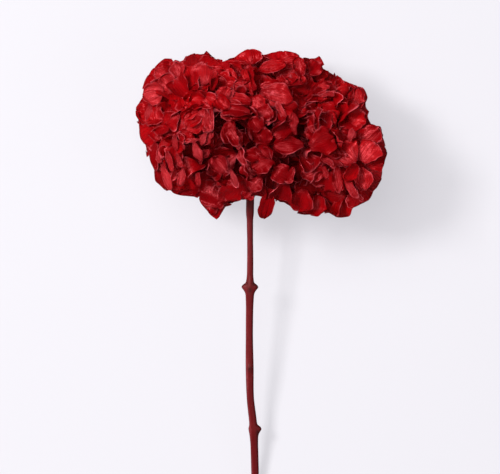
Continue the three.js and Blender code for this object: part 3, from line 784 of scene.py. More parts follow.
def laid_blades():
    """The sepals that follow the head's surface, and how pale each is."""
    spread = spread_of(seeded(LAID_SEED))
    blades = []
    for claw_x, claw_y, tip_x, tip_y, width, claw_lift, tip_lift, *lean, cup in LAID_SEPALS:
        claw = seen_at(claw_x, claw_y) + [0, 0, claw_lift]
        tip = seen_at(tip_x, tip_y) + [0, 0, tip_lift]
        run = np.linalg.norm((tip - claw)[:2])
        level = -float(np.dot((tip - claw)[:2], lean)) + 0.5 * (tip_lift - claw_lift)
        rise = LEAN_SHARE * level + (1 - LEAN_SHARE) * (tip[2] - claw[2])
        tip[2] = claw[2] + run * np.clip(rise / run, *LAID_SLOPES)
        along = tip - claw
        shape = drawn(spread, LAID_CURL)
        shape["length"] = np.linalg.norm(along) * LAID_LONGER
        shape["width"] = LAID_WIDER * width * PIXEL
        shape["cup"] += CUPPING * cup
        wild = 1 if claw_lift > 1 else CALM
        for name in ("tip", "keel", "ruffle", "rim", "dent", "twist"):
            shape[name] *= wild
        blades.append(single_blade(shape, LAID_GRID, claw, unit(along), unit([*lean, 1.0])))
    return blades, [0] * len(blades)


def open_blades():
    """The sepals that lie open to the camera, flat but for soft folds, and how pale each is."""
    spread = spread_of(seeded(OPEN_SEED))
    blades = []
    for claw_x, claw_y, tip_x, tip_y, width, height, *lean, cup, _ in OPEN_SEPALS:
        height = min(height, seen_at(claw_x, claw_y)[2] + OPEN_REACH)
        claw = under_pixel(claw_x, claw_y, height)
        tip = under_pixel(tip_x, tip_y, height)
        tip[2] -= np.dot((tip - claw)[:2], lean)
        along = tip - claw
        shape = drawn(spread, OPEN_CURL)
        shape["length"] = np.linalg.norm(along) * OPEN_LONGER
        shape["width"] = width * PIXEL
        shape["cup"] += CUPPING * cup
        wild = min(1, width / WIDE)
        for name, share in (("ruffle", 1), ("rim", 1), ("dent", 1), ("pleat", 1.3), ("crumple", 1.1)):
            shape[name] *= share * wild
        blades.append(single_blade(shape, OPEN_GRID, claw, unit(along), unit([*lean, 1.0])))
    return blades, [row[-1] for row in OPEN_SEPALS]


def standing_blades():
    """Sepals of crowded florets that stand on edge between the others, all over the head."""
    draw = seeded(STANDING_SEED)
    spread = spread_of(draw)
    ways = settled(np.zeros((0, 3)), STANDING_SEPALS, STANDING_SPACING, draw)
    blades = []
    for way, normal in zip(ways, head_normals(ways)):
        facing = unit(np.cross(normal, [spread(1), spread(1), spread(1)]))
        along = unit(normal + 0.7 * np.cross(normal, facing) + 0.3 * spread(1) * facing)
        shape = drawn(spread, STANDING_CURL)
        place = on_head(way[None], STANDING_LIFT + spread(MORE_LIFT_JITTER))[0]
        sepal = {"place": place, "normal": normal, "size": 0.8, "way": way}
        sunk_in_hollows(sepal)
        held_inside(sepal)
        points, faces, marks = single_blade(shape, STANDING_GRID, sepal["place"], along, facing)
        low = points[:, 2] < PRESS_HEIGHT
        points[low, 2] = PRESS_HEIGHT * np.exp(points[low, 2] / PRESS_HEIGHT - 1)
        blades.append((points, faces, marks))
    return blades, [0] * len(blades)


def floret_form(seed, open_angle, grid):
    """The four blades of a floret at the origin, facing +Z."""
    spread = spread_of(seeded(seed))
    blades = []
    for i in range(SEPALS):
        inner = i % 2  # two of the four lie over the others
        qualities = {
            "turn": (i * 2 * math.pi / SEPALS, 0.16),
            "length": (1, 0.1),
            "width": (1, 0.14),
            "rise": (open_angle + 0.15 * inner, 0.15 + 0.4 * open_angle),
            "bend": (-0.45 - 0.4 * open_angle, 0.6),
            **FLORET_CURL,
        }
        shape = drawn(spread, qualities)
        shape["length"] *= SEPAL_LENGTH
        shape["width"] *= SEPAL_WIDTH
        if abs(shape["cup"]) < LEAST_CUP:
            shape["cup"] = LEAST_CUP
        sheet, marks = sepal_sheet(shape, *grid)
        sheet[..., 2] += 0.5 * inner
        blades.append(closed_blade(sheet, marks))
    return blades


def bud_form():
    """The small shut flower in a floret's middle: a round bud with four grooves."""
    rows, columns = 4, 8
    turn = np.linspace(0, 2 * math.pi, columns, endpoint=False)
    height = np.linspace(0.08, 0.92, rows) * math.pi
    ring = BUD_RADIUS * np.sin(height)[:, None] * (1 + 0.09 * np.cos(4 * turn))
    z = 0.6 + BUD_RADIUS * (1 - np.cos(height))[:, None] + 0 * ring
    points = np.stack([ring * np.cos(turn), ring * np.sin(turn), z], 2).reshape(-1, 3)
    at = np.arange(rows * columns).reshape(rows, columns)
    after = np.roll(at, -1, axis=1)
    quads = np.stack([at[:-1], after[:-1], after[1:], at[1:]], 2).reshape(-1, 4)
    return points, [*map(tuple, quads), tuple(at[0][::-1]), tuple(at[-1])]


# Meshes and objects


def linked_object(name, data, collection=None):
    piece = bpy.data.objects.new(name, data)
    (collection or bpy.context.scene.collection).objects.link(piece)
    return piece


def mesh_object(name, points, faces, collection=None):
    mesh = bpy.data.meshes.new(name)
    mesh.from_pydata((np.asarray(points) * MM).tolist(), [], [list(map(int, f)) for f in faces])
    mesh.shade_smooth()
    mesh.set_sharp_from_angle(angle=RIM_ANGLE)
    return linked_object(name, mesh, collection)


def carry(mesh, label, values, kind="FLOAT", field="value"):
    """Gives each point of a mesh a value."""
    mesh.attributes.new(label, kind, "POINT").data.foreach_set(field, values)


def form_object(name, blades, collection=None, paler=None):
    """A mesh of blades, with a map of each sepal and a map where each side of each has its room.
    Single sepals also carry their dye with painted shade, and how pale each is: partly its paler back,
    partly painted highlight."""
    points, faces, marks, rooms = [], [], [], []
    start = 0
    side = math.ceil(math.sqrt(2 * len(blades)))
    for k, (p, f, m) in enumerate(blades):
        points.append(p)
        faces.append(f + start)
        marks.append(m)
        is_back = np.repeat((f >= len(p) // 2).all(1), 4)
        cell = 2 * k + is_back
        rooms.append((0.04 + 0.92 * m + np.stack([cell % side, cell // side], 1)) / side)
        start += len(p)
    piece = mesh_object(name, np.concatenate(points), np.concatenate(faces), collection)
    if paler:
        draw = seeded(len(blades))
        # each sepal's red, with painted shade in the head's crowded middle
        dyes_with_shade = [0.15 + 0.85 * dye_and_shade_at(p.mean(0), draw()) for p in points]
        for label, numbers in (("shade", dyes_with_shade), ("underside_and_highlight", paler)):
            carry(piece.data, label, np.repeat(numbers, [len(p) for p in points]).astype(np.float32))
    for label, places in (("petal", marks), ("OFBake", rooms)):
        layer = piece.data.uv_layers.new(name=label)
        layer.uv.foreach_set("vector", np.concatenate(places).astype(np.float32).ravel())
    return piece


def point_cloud(name, florets):
    """A mesh of one point for each floret, which carries how the floret is set there."""
    mesh = bpy.data.meshes.new(name)
    mesh.from_pydata((np.array([f["place"] for f in florets]) * MM).tolist(), [], [])
    side = math.ceil(math.sqrt(len(florets)))
    rooms = [c for i in range(len(florets)) for c in (i % side, i // side, 0)]
    carry(mesh, "turn", [c for f in florets for c in f["turn"]], "QUATERNION")
    carry(mesh, "size", [f["size"] for f in florets])
    carry(mesh, "form", [f["form"] for f in florets], "INT")
    carry(mesh, "shade", [f["shade"] for f in florets])
    carry(mesh, "room", rooms, "FLOAT_VECTOR", "vector")
    return linked_object(name, mesh), side


# Node trees


def add(tree, kind, inputs=(), **settings):
    """Adds a node. An input gets a value, or is linked to an output or to a node's first output."""
    node = tree.nodes.new(kind)
    for name, value in settings.items():
        setattr(node, name, value)
    for name, value in dict(inputs).items():
        if isinstance(value, bpy.types.Node):
            value = next(output for output in value.outputs if output.enabled)
        if isinstance(value, bpy.types.NodeSocket):
            tree.links.new(value, node.inputs[name])
        else:
            node.inputs[name].default_value = value
    return node


def new_tree(name, sockets):
    """An empty Geometry Nodes tree that takes a geometry, a material and the named inputs."""
    tree = bpy.data.node_groups.new(name, "GeometryNodeTree")
    whole = [("Geometry", "Geometry", None), ("Material", "Material", None)]
    for label, kind, value in whole + sockets:
        socket = tree.interface.new_socket(label, in_out="INPUT", socket_type="NodeSocket" + kind)
        if value is not None:
            socket.default_value = value
    tree.interface.new_socket("Geometry", in_out="OUTPUT", socket_type="NodeSocketGeometry")
    return tree, partial(add, tree), tree.nodes.new("NodeGroupInput").outputs


def floret_tree():
    """Sets floret forms on points, ruffles them by noise and presses the lowest on the surface."""
    sockets = [
        ("Forms", "Collection", None),
        ("Rooms a side", "Float", 8.0),
        ("Ruffle", "Float", 2.6 * MM),
        ("Ruffle width", "Float", 12 * MM),
        ("Press height", "Float", PRESS_HEIGHT * MM),
    ]
    tree, new, given = new_tree("Set florets on the head", sockets)
    kinds = {
        "form": "INT",
        "turn": "QUATERNION",
        "size": "FLOAT",
        "OFBake": "FLOAT_VECTOR",
        "room": "FLOAT_VECTOR",
    }
    carried = {
        label: new("GeometryNodeInputNamedAttribute", {"Name": label}, data_type=kind)
        for label, kind in kinds.items()
    }
    forms = new(
        "GeometryNodeCollectionInfo",
        {"Collection": given["Forms"], "Separate Children": True, "Reset Children": True},
        transform_space="ORIGINAL",
    )
    setting = {
        "Points": given["Geometry"],
        "Instance": forms,
        "Pick Instance": True,
        "Instance Index": carried["form"],
        "Rotation": carried["turn"],
        "Scale": carried["size"],
    }
    real = new("GeometryNodeRealizeInstances", {0: new("GeometryNodeInstanceOnPoints", setting)})
    # each floret's map is moved to a room of its own
    shift = new("ShaderNodeVectorMath", {0: carried["OFBake"], 1: carried["room"]}, operation="ADD")
    rooms = new("ShaderNodeVectorMath", {0: shift, 1: given["Rooms a side"]}, operation="DIVIDE")
    mapped = new(
        "GeometryNodeStoreNamedAttribute",
        {"Geometry": real, "Name": "OFBake", "Value": rooms},
        data_type="FLOAT2",
        domain="CORNER",
    )
    place = new("GeometryNodeInputPosition")
    waves = new("ShaderNodeVectorMath", {0: place, 1: given["Ruffle width"]}, operation="DIVIDE")
    noise = new("ShaderNodeTexNoise", {"Vector": waves, "Scale": 1.0, "Detail": 2.0}).outputs["Color"]
    centred = new("ShaderNodeVectorMath", {0: noise, 1: (0.5, 0.5, 0.5)}, operation="SUBTRACT")
    # the noise keeps within a quarter of its middle, so four times the ruffle reaches its full height
    reach = new("ShaderNodeMath", {0: given["Ruffle"], 1: 4.0}, operation="MULTIPLY")
    offset = new("ShaderNodeVectorMath", {0: centred, "Scale": reach}, operation="SCALE")
    ruffled = new("GeometryNodeSetPosition", {"Geometry": mapped, "Offset": offset})
    # below the press height a point keeps ever less of its depth, and never gets under the surface
    x, y, z = new("ShaderNodeSeparateXYZ", {0: place}).outputs
    height = given["Press height"]
    below = new("ShaderNodeMath", {0: z, 1: height}, operation="SUBTRACT")
    share = new("ShaderNodeMath", {0: below, 1: height}, operation="DIVIDE")
    power = new("ShaderNodeMath", {0: share}, operation="EXPONENT")
    pressed = new("ShaderNodeMath", {0: power, 1: height}, operation="MULTIPLY")
    is_low = new("ShaderNodeMath", {0: z, 1: height}, operation="LESS_THAN")
    either = {"Switch": is_low, "False": z, "True": pressed}
    level = new("GeometryNodeSwitch", either, input_type="FLOAT")
    spot = new("ShaderNodeCombineXYZ", {0: x, 1: y, 2: level})
    rested = new("GeometryNodeSetPosition", {"Geometry": ruffled, "Position": spot})
    painted = new("GeometryNodeSetMaterial", {"Geometry": rested, "Material": given["Material"]})
    new("NodeGroupOutput", {0: painted})
    return tree


def stalk_tree():
    """Turns lines with a thickness at each point into closed round stalks."""
    tree, new, given = new_tree("Round stalks along lines", [("Sides", "Int", 6)])
    radius = new("GeometryNodeInputNamedAttribute", {"Name": "thickness"}, data_type="FLOAT")
    line = new("GeometryNodeMeshToCurve", {0: given["Geometry"]})
    ring = new("GeometryNodeCurvePrimitiveCircle", {"Resolution": given["Sides"], "Radius": 1.0})
    sweep = {"Curve": line, "Profile Curve": ring, "Scale": radius, "Fill Caps": True}
    real = new("GeometryNodeRealizeInstances", {0: new("GeometryNodeCurveToMesh", sweep)})
    painted = new("GeometryNodeSetMaterial", {"Geometry": real, "Material": given["Material"]})
    new("NodeGroupOutput", {0: painted})
    return tree


def made_by(tree, source, name, given):
    """The plain mesh that a tree makes of a source object, which is then removed."""
    modifier = source.modifiers.new("Make", "NODES")
    modifier.node_group = tree
    sockets = tree.interface.items_tree
    identifiers = {socket.name: socket.identifier for socket in sockets if socket.in_out == "INPUT"}
    for label, value in given.items():
        modifier[identifiers[label]] = value
    graph = bpy.context.evaluated_depsgraph_get()
    mesh = bpy.data.meshes.new_from_object(
        source.evaluated_get(graph), preserve_all_data_layers=True, depsgraph=graph
    )
    mesh.name = name
    mesh.shade_smooth()
    bpy.data.objects.remove(source)
    return linked_object(name, mesh)


# Materials

EASED = {"interpolation_type": "SMOOTHSTEP"}


def linear(hex_colour):
    """An sRGB hex colour as linear red, green, blue and alpha."""
    channels = [int(hex_colour[i : i + 2], 16) / 255 for i in (1, 3, 5)]
    return [c / 12.92 if c <= 0.04045 else ((c + 0.055) / 1.055) ** 2.4 for c in channels] + [1.0]


def new_material(name):
    material = bpy.data.materials.new(name)
    material.use_nodes = True
    material.node_tree.nodes.clear()
    return material, partial(add, material.node_tree)


def sepal_material():
    """Preserved hydrangea sepal: glycerine keeps it soft and a little silky, and the dye, drawn up
    through the stem, leaves it a deep red that is darkest at the claw and along the veins."""
    material, new = new_material("dyed preserved sepal")
    place = new("ShaderNodeTexCoord").outputs["Object"]
    across, along, _ = new("ShaderNodeSeparateXYZ", {0: new("ShaderNodeUVMap", uv_map="petal")}).outputs
    shade, underside_and_highlight = (
        new("ShaderNodeAttribute", attribute_name=name).outputs["Fac"]
        for name in ("shade", "underside_and_highlight")
    )
    # veins: 1 to 2 mm apart, spreading from the claw and meeting again at the tip
    flat = new("ShaderNodeCombineXYZ", {0: across, 1: along, 2: shade})
    long_way = new("ShaderNodeMapping", {"Vector": flat, "Scale": (21.0, 1.4, 40.0)})
    lines = {"Vector": long_way, "Scale": 1.0, "Detail": 2.0, "Distortion": 0.3}
    streaks = new("ShaderNodeTexNoise", lines).outputs[0]
    band = {"Value": streaks, "From Min": 0.42, "From Max": 0.68, "To Max": 0.62}
    veins = new("ShaderNodeMapRange", band, **EASED)
    # clouds of colour some 14 mm wide, and crinkles of 3 mm
    mottle = new("ShaderNodeTexNoise", {"Vector": place, "Scale": 70.0, "Detail": 3.0}).outputs[0]
    crinkle = new("ShaderNodeTexNoise", {"Vector": place, "Scale": 300.0, "Detail": 3.0})
    band = {"Value": along, "From Max": 0.45, "To Min": 0.6, "To Max": 0.0}
    claw = new("ShaderNodeMapRange", band, **EASED)
    # the margin, where the sepal is thinnest, is painted paler in patches: a painted highlight where the
    # light catches the sepals' rims
    from_middle = new("ShaderNodeMath", {0: across, 1: 2.0, 2: -1.0}, operation="MULTIPLY_ADD")
    aside = new("ShaderNodeMath", {0: from_middle}, operation="ABSOLUTE")
    outer = new("ShaderNodeMath", {0: aside, 1: along}, operation="MAXIMUM")
    margin = new("ShaderNodeMapRange", {"Value": outer, "From Min": 0.88, "To Max": 0.75}, **EASED)
    band = {"Value": mottle, "From Min": 0.46, "From Max": 0.66}
    patches = new("ShaderNodeMapRange", band, **EASED)
    pale = new("ShaderNodeMath", {0: margin, 1: patches}, operation="MULTIPLY")
    colour = linear("#4E0004")
    for factor, hex_colour in (
        # the dye's own tone together with painted shade, darkest in the head's crowded middle and on the
        # florets inside
        (shade, "#C8080F"),
        (mottle, "#7C0207"),
        # partly the sepal's paler back, partly painted highlight where the light catches it
        (underside_and_highlight, "#D4505A"),
        (claw, "#5A0208"),
        (veins, "#74030A"),
        # painted highlight on the rims
        (pale, "#E05863"),
    ):
        mixed = {"Factor": factor, "A": colour, "B": linear(hex_colour)}
        colour = new("ShaderNodeMix", mixed, data_type="RGBA")
    relief = new("ShaderNodeMath", {0: crinkle, 1: 0.35, 2: streaks}, operation="MULTIPLY_ADD")
    finish = {
        "Base Color": colour,
        "Roughness": 0.3,
        "IOR": 1.45,
        "Specular IOR Level": 0.75,
        "Specular Tint": linear("#FF6E78"),
        "Subsurface Weight": 0.08,
        "Subsurface Scale": 1.5 * MM,
        "Subsurface Radius": (1.0, 0.1, 0.08),
        "Normal": new("ShaderNodeBump", {"Strength": 0.9, "Distance": 0.8 * MM, "Height": relief}),
    }
    new("ShaderNodeOutputMaterial", {0: new("ShaderNodeBsdfPrincipled", finish)})
    return material


def bark_material():
    """Preserved hydrangea stem: smooth thin bark, dyed with the flower to a dull red-brown, finely
    ribbed along its length and darker at the leaf scars."""
    material, new = new_material("dyed smooth bark")
    place = new("ShaderNodeTexCoord").outputs["Object"]
    marked, pale_side, cut = (
        new("ShaderNodeAttribute", attribute_name=name).outputs["Fac"]
        for name in ("marked", "pale_side", "cut")
    )
    # ribs about 0.7 mm apart, drawn out along the stem
    long_way = new("ShaderNodeMapping", {"Vector": place, "Scale": (1.0, 0.06, 1.0)})
    ribs = new("ShaderNodeTexNoise", {"Vector": long_way, "Scale": 1100.0, "Detail": 3.0}).outputs[0]
    stain = new("ShaderNodeTexNoise", {"Vector": place, "Scale": 60.0, "Detail": 4.0})
    # painted highlight down the stem's lit side, streaked by the ribs
    painted_side_highlight = new("ShaderNodeMath", {0: pale_side, 1: ribs}, operation="MULTIPLY")
    # lenticels: small pale pores, drawn out along the stem
    pore_way = new("ShaderNodeMapping", {"Vector": place, "Scale": (1.0, 0.3, 1.0)})
    pores = new("ShaderNodeTexNoise", {"Vector": pore_way, "Scale": 900.0, "Detail": 1.0})
    band = {"Value": pores, "From Min": 0.72, "From Max": 0.8, "To Max": 0.4}
    pored = new("ShaderNodeMapRange", band)
    # leaf scars: dark, mottled and dull
    speckle = new("ShaderNodeTexNoise", {"Vector": place, "Scale": 700.0, "Detail": 2.0})
    band = {"Value": speckle, "From Min": 0.35, "From Max": 0.6, "To Min": 0.5}
    spotted = new("ShaderNodeMapRange", band, **EASED)
    scar = new("ShaderNodeMath", {0: marked, 1: spotted}, operation="MULTIPLY")
    dulled = new("ShaderNodeMapRange", {"Value": marked, "To Min": 0.42, "To Max": 0.85})
    colour = linear("#4C0508")
    for factor, hex_colour in (
        (ribs, "#761016"),
        (stain, "#5C0A0E"),
        (painted_side_highlight, "#AA4C52"),
        (pored, "#A04A50"),
        (scar, "#300305"),
        (cut, "#C8907C"),
    ):
        mixed = {"Factor": factor, "A": colour, "B": linear(hex_colour)}
        colour = new("ShaderNodeMix", mixed, data_type="RGBA")
    finish = {
        "Base Color": colour,
        "Roughness": dulled,
        "IOR": 1.5,
        "Specular IOR Level": 0.5,
        "Specular Tint": linear("#FFC0C0"),
        "Normal": new("ShaderNodeBump", {"Strength": 0.5, "Distance": 0.2 * MM, "Height": ribs}),
    }
    new("ShaderNodeOutputMaterial", {0: new("ShaderNodeBsdfPrincipled", finish)})
    return material


def bud_material():
    """The shut true flower: a dry, dark, slightly shiny bud."""
    material, new = new_material("dried flower bud")
    place = new("ShaderNodeTexCoord").outputs["Object"]
    mottle = new("ShaderNodeTexNoise", {"Vector": place, "Scale": 900.0})
    mixed = {"Factor": mottle, "A": linear("#4A0206"), "B": linear("#8A0A12")}
    colour = new("ShaderNodeMix", mixed, data_type="RGBA")
    finish = {"Base Color": colour, "Roughness": 0.4, "IOR": 1.45}
    new("ShaderNodeOutputMaterial", {0: new("ShaderNodeBsdfPrincipled", finish)})
    return material


def board_material():
    """Pale painted board: matt, with some light of its own, as it lies in a bright room."""
    material, new = new_material("pale painted board")
    finish = {
        "Base Color": linear("#8E8D92"),
        "Roughness": 0.8,
        "Emission Color": linear("#F3F1F8"),
        "Emission Strength": 0.6,
    }
    new("ShaderNodeOutputMaterial", {0: new("ShaderNodeBsdfPrincipled", finish)})
    return material


# The head's pieces


def dressed(piece, node):
    """Attaches a finished piece to the root body, and hides the part's node that it stands for."""
    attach(piece, "root")
    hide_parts(node)


def new_forms(name):
    collection = bpy.data.collections.new(name)
    bpy.context.scene.collection.children.link(collection)
    return collection


sepal_finish = sepal_material()
bark_finish = bark_material()
set_florets = floret_tree()

main_florets = source_florets()
main_ways = np.array([floret["way"] for floret in main_florets])
outer_florets = main_florets + more_florets(main_ways, **BETWEEN)
inner_florets = more_florets(main_ways[:0], **INSIDE)
form_draw = seeded(FORM_SEED)
for floret in outer_florets + inner_florets:
    openness = 0.6 if floret["normal"][2] > 0.3 else 0.4  # the flatter forms, and most so at the side
    floret["form"] = int(form_draw() * FORMS * openness)
    floret["shade"] = float(dye_and_shade_at(floret["place"], form_draw()))
main_florets[0]["form"] = 0

fine_forms, plain_forms, bud_forms = map(new_forms, ("fine_forms", "plain_forms", "bud_forms"))
for i in range(FORMS):
    open_angle = math.radians(FLATTEST + (STEEPEST - FLATTEST) * i / (FORMS - 1))
    for label, collection, grid in (("fine", fine_forms, FINE_GRID), ("plain", plain_forms, PLAIN_GRID)):
        blades = floret_form(FIRST_FORM_SEED + i, open_angle, grid)
        form_object(f"{label}_{i:02d}", blades, collection)
bud = mesh_object("bud", *bud_form(), bud_forms)
for label in ("petal", "OFBake"):
    bud.data.uv_layers.new(name=label)

for name, (blades, paler) in (
    ("sepals_laid", laid_blades()),
    ("sepals_open", open_blades()),
    ("sepals_standing", standing_blades()),
):
    piece = form_object(name, blades, paler=paler)
    tuck_in(piece)
    piece.data.materials.append(sepal_finish)
    dressed(piece, "flower_head")

for floret in inner_florets:
    # painted shade: the florets inside, seen only in the gaps between the others, are painted darkest
    floret["shade"] = 0.0
    sunk_in_hollows(floret)
regions = {"left": [], "right": [], "crown": [], "foot": []}
for floret in outer_florets:
    settle_down(floret)
    x, y, _ = floret["place"] - HEAD_CENTRE
    if abs(x) > SIDE_EDGE:
        regions["left" if x < 0 else "right"].append(floret)
    else:
        regions["crown" if y > 0 else "foot"].append(floret)
groups = [(label, florets, fine_forms) for label, florets in regions.items()]
for label, florets, forms in [*groups, ("inside", inner_florets, plain_forms)]:
    name = "florets_" + label
    source, side = point_cloud(name + "_points", florets)
    given = {"Forms": forms, "Material": sepal_finish, "Rooms a side": float(side)}
    piece = made_by(set_florets, source, name, given)
    tuck_in(piece)
    dressed(piece, "flower_head")

source, _ = point_cloud("bud_points", [{**floret, "form": 0} for floret in outer_florets])
given = {"Forms": bud_forms, "Material": bud_material()}
buds = made_by(set_florets, source, "closed_buds", given)
buds.data.uv_layers.remove(buds.data.uv_layers["OFBake"])
dressed(buds, "flower_head")
for collection in (fine_forms, plain_forms, bud_forms):
    for form in list(collection.objects):
        bpy.data.objects.remove(form)
    bpy.data.collections.remove(collection)


# The stem, and the rays and pedicels that join the florets to it


def stem_radius(distance, angle):
    places, radii = np.array(STEM_RADII).T
    after = np.clip(np.searchsorted(places, distance, side="right"), 1, len(places) - 1)
    share = smoothstep(places[after - 1], places[after], distance)
    radius = radii[after - 1] + (radii[after] - radii[after - 1]) * share
    for at, degrees, height in LEAF_SCARS:
        off = wrapped(angle - math.radians(degrees)) / SCAR_SPREAD
        past = distance - at
        fade = past / np.where(past < 0, SCAR_ABOVE, SCAR_BELOW)
        stub = np.exp(-off * off - fade * fade)
        hollow = SCAR_HOLLOW * np.exp(-6 * off * off - (past + 0.5) ** 2)
        radius = radius + height * (stub - hollow * min(1, height / 2))
    return radius


def bark_marks(distance, angle):
    """How dark the bark is marked, from 0 to 1."""
    dark = 0 * distance * angle
    for at, degrees, length, width in BARK_MARKS:
        off = wrapped(angle - math.radians(degrees)) / math.radians(width)
        dark = np.maximum(dark, np.exp(-off * off - ((distance - at) / length) ** 2))
    return dark


def pale_side(distance, angle):
    """A painted highlight: a paler stripe on the stem's left side, where the light catches it, that
    wanders a little and is broken here and there.
    """
    middle, half_width = PALE_STRIPE
    off = wrapped(angle - np.radians(middle + 8 * np.sin(distance / 17))) / math.radians(half_width)
    return np.exp(-off * off) * (0.75 + 0.25 * np.sin(distance / 6.5))


def between(t, low, near, high, far):
    """The place for t on the straight way from near, which is at low, to far, which is at high."""
    return (high - t) / (high - low) * near + (t - low) / (high - low) * far


def smooth_route(points, count):
    """A centripetal Catmull-Rom curve through the points, at even distances along it."""
    points = np.array(points, float)
    ends = 2 * points[[0, -1]] - points[[1, -2]]
    p = np.concatenate([ends[:1], points, ends[1:]])
    dense = []
    for a, b, c, d in zip(p, p[1:], p[2:], p[3:]):
        t0 = 0.0
        t1 = t0 + np.linalg.norm(b - a) ** 0.5
        t2 = t1 + np.linalg.norm(c - b) ** 0.5
        t3 = t2 + np.linalg.norm(d - c) ** 0.5
        t = np.linspace(t1, t2, 60, endpoint=False)[:, None]
        middle = between(t, t1, b, t2, c)
        near = between(t, t0, between(t, t0, a, t1, b), t2, middle)
        far = between(t, t1, middle, t3, between(t, t2, c, t3, d))
        dense.append(between(t, t1, near, t2, far))
    dense = np.concatenate([*dense, points[-1:]])
    run = np.concatenate([[0], np.cumsum(np.linalg.norm(np.diff(dense, axis=0), axis=1))])
    even = np.linspace(0, run[-1], count)
    return np.stack([np.interp(even, run, axis) for axis in dense.T], 1), even


def stem_piece():
    route, distance = smooth_route(STEM_ROUTE, STEM_ROWS)
    along = unit(np.gradient(route, axis=0))
    right = unit(np.array([1.0, 0, 0]) - along[:, :1] * along)
    up = np.cross(right, along)
    angle = np.linspace(0, 2 * math.pi, STEM_SIDES, endpoint=False)
    grid = distance[:, None], angle[None]
    radius = stem_radius(*grid)[..., None]
    cosine, sine = np.cos(angle)[None, :, None], np.sin(angle)[None, :, None]
    points = route[:, None] + radius * cosine * right[:, None] + radius * sine * up[:, None]
    # the cut end: a thin ring of wood round a wide core of pith
    rings = [route[-1] + share * (points[-1] - route[-1]) for share in CUT_RINGS]
    flat = np.concatenate([points.reshape(-1, 3), *rings, [route[0]], [route[-1]]])
    first, last = len(flat) - 2, len(flat) - 1
    at = np.arange(first).reshape(-1, STEM_SIDES)
    after = np.roll(at, -1, axis=1)
    faces = np.stack([at[:-1], at[1:], after[1:], after[:-1]], 2).reshape(-1, 4).tolist()
    faces += [(first, a, b) for a, b in zip(at[0], after[0])]
    faces += [(last, b, a) for a, b in zip(at[-1], after[-1])]
    piece = mesh_object("stem_bark", flat, faces)
    bark_end, wood, core = 0.0, 0.6, 1.0
    for label, along_stem, at_end in (
        ("marked", bark_marks(*grid), 0.0),
        ("pale_side", pale_side(*grid), 0.0),
        ("cut", np.zeros(points.shape[:2]), 1.0),
    ):
        ends = at_end * np.concatenate([np.repeat([wood, wood, core], STEM_SIDES), [bark_end, core]])
        carry(piece.data, label, np.concatenate([along_stem.ravel(), ends]).astype(np.float32))
    piece.data.materials.append(bark_finish)
    dressed(piece, "stem")


def line_object(name, lines):
    """A mesh of open lines; each is a list of points and of the radii there."""
    points, edges, radii = [], [], []
    for line, radius in lines:
        start = len(points)
        points += [tuple(p) for p in line]
        radii += [float(r) * MM for r in radius]
        edges += [(start + i, start + i + 1) for i in range(len(line) - 1)]
    mesh = bpy.data.meshes.new(name)
    mesh.from_pydata((np.array(points) * MM).tolist(), edges, [])
    carry(mesh, "thickness", radii)
    return linked_object(name, mesh)


def bowed(start, elbow, end, count):
    t = np.linspace(0, 1, count)[:, None]
    return (1 - t) ** 2 * start + 2 * t * (1 - t) * elbow + t**2 * end


def ray_lines():
    """The branches that fan out from the top of the stem."""
    inward = -stem_way
    side = unit(np.cross(inward, front_axis))
    over = np.cross(inward, side)
    lines = []
    for i in range(RAYS):
        turn = 2 * math.pi * i / RAYS
        spread = RAY_SPREAD * (0.85 + 0.3 * (i % 2))
        aside = math.cos(turn) * side + math.sin(turn) * over
        way = math.cos(spread) * inward + math.sin(spread) * aside
        start = stem_top - 1.5 * inward
        elbow = start + 0.9 * (stem_top + way * RAY_LENGTH * 0.5 - start)
        line = bowed(start, elbow, stem_top + way * RAY_LENGTH, RAY_ROWS)
        lines.append((line, RAY_RADIUS * np.linspace(1, 0.7, RAY_ROWS)))
    return lines


def pedicel_lines(florets, ray_tips):
    """The thin stalks that run from the nearest ray to the floret's middle, over the surface."""
    lines = []
    for floret in florets:
        foot = ray_tips[np.argmin(np.linalg.norm(ray_tips - floret["place"], axis=1))]
        elbow = floret["place"] - PEDICEL_DROP * floret["normal"]
        line = bowed(foot, elbow, floret["place"], len(PEDICEL_SHARES))
        line[:, 2] = np.maximum(line[:, 2], PEDICEL_RADIUS + 0.2)
        lines.append((line, PEDICEL_RADIUS * np.array(PEDICEL_SHARES)))
    return lines


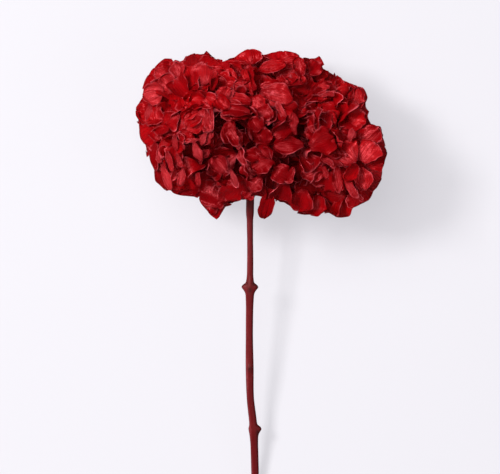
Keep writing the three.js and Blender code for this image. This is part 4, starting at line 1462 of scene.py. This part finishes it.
stem_piece()
stalks = stalk_tree()
rays = ray_lines()
pedicels = pedicel_lines(outer_florets, np.array([line[-1] for line, _ in rays]))
for name, lines, sides, node, slot in (
    ("rays", rays, 12, "stem", "stem_bark"),
    ("pedicels", pedicels, 6, "flower_head", "sepals"),
):
    given = {"Material": bark_finish, "Sides": sides}
    dressed(made_by(stalks, line_object(name + "_lines", lines), name, given), node)

# The surface, the light and the camera

corners = [(-1, -1, 0), (1, -1, 0), (1, 1, 0), (-1, 1, 0)]
floor = mesh_object("floor", FLOOR_REACH * np.array(corners), [(0, 1, 2, 3)])
floor.data.materials.append(board_material())
floor.visible_glossy = False  # as if flags kept its shine off the sepals

world = bpy.data.worlds.new("studio")
bpy.context.scene.world = world
world.use_nodes = True
world.cycles_visibility.glossy = False
sky = world.node_tree.nodes["Background"].inputs
sky["Color"].default_value = linear("#F4F4FA")
sky["Strength"].default_value = 0.12


def soft_light(name, place, aim, size, power, colour):
    """A square light that faces its aim; its places and size are in metres."""
    lamp = bpy.data.lights.new(name, "AREA")
    lamp.shape = "SQUARE"
    lamp.size = size
    lamp.energy = power
    lamp.color = linear(colour)[:3]
    back = unit(np.array(place, float) - aim)
    side = unit(np.cross([0, 1, 0], back))
    axes = np.eye(4)
    axes[:3, :3] = np.stack([side, np.cross(back, side), back], 1)
    axes[:3, 3] = place
    linked_object(name, lamp).matrix_world = Matrix(axes.tolist())


soft_light("window", (-0.6, 0.38, 2.2), (0, -0.05, 0.03), 1.6, 38, "#FFFDFA")
soft_light("lamp", (-1.15, 0.4, 2.1), (0, -0.05, 0.03), 0.5, 43, "#FFFDFA")
soft_light("bounce", (1.5, -0.9, 1.7), (0, 0, 0.03), 1.8, 7, "#FFFFFF")

camera_data = bpy.data.cameras.new("camera")
camera_data.lens = camera_data.sensor_width * DISTANCE / (VIEW[0] * PIXEL)
camera_data.clip_end = 10
camera = linked_object("camera", camera_data)
camera.location = np.append(CAMERA_AXIS, HEAD_CENTRE[2] + DISTANCE) * MM
bpy.context.scene.camera = camera
bpy.context.scene.view_settings.view_transform = "Standard"
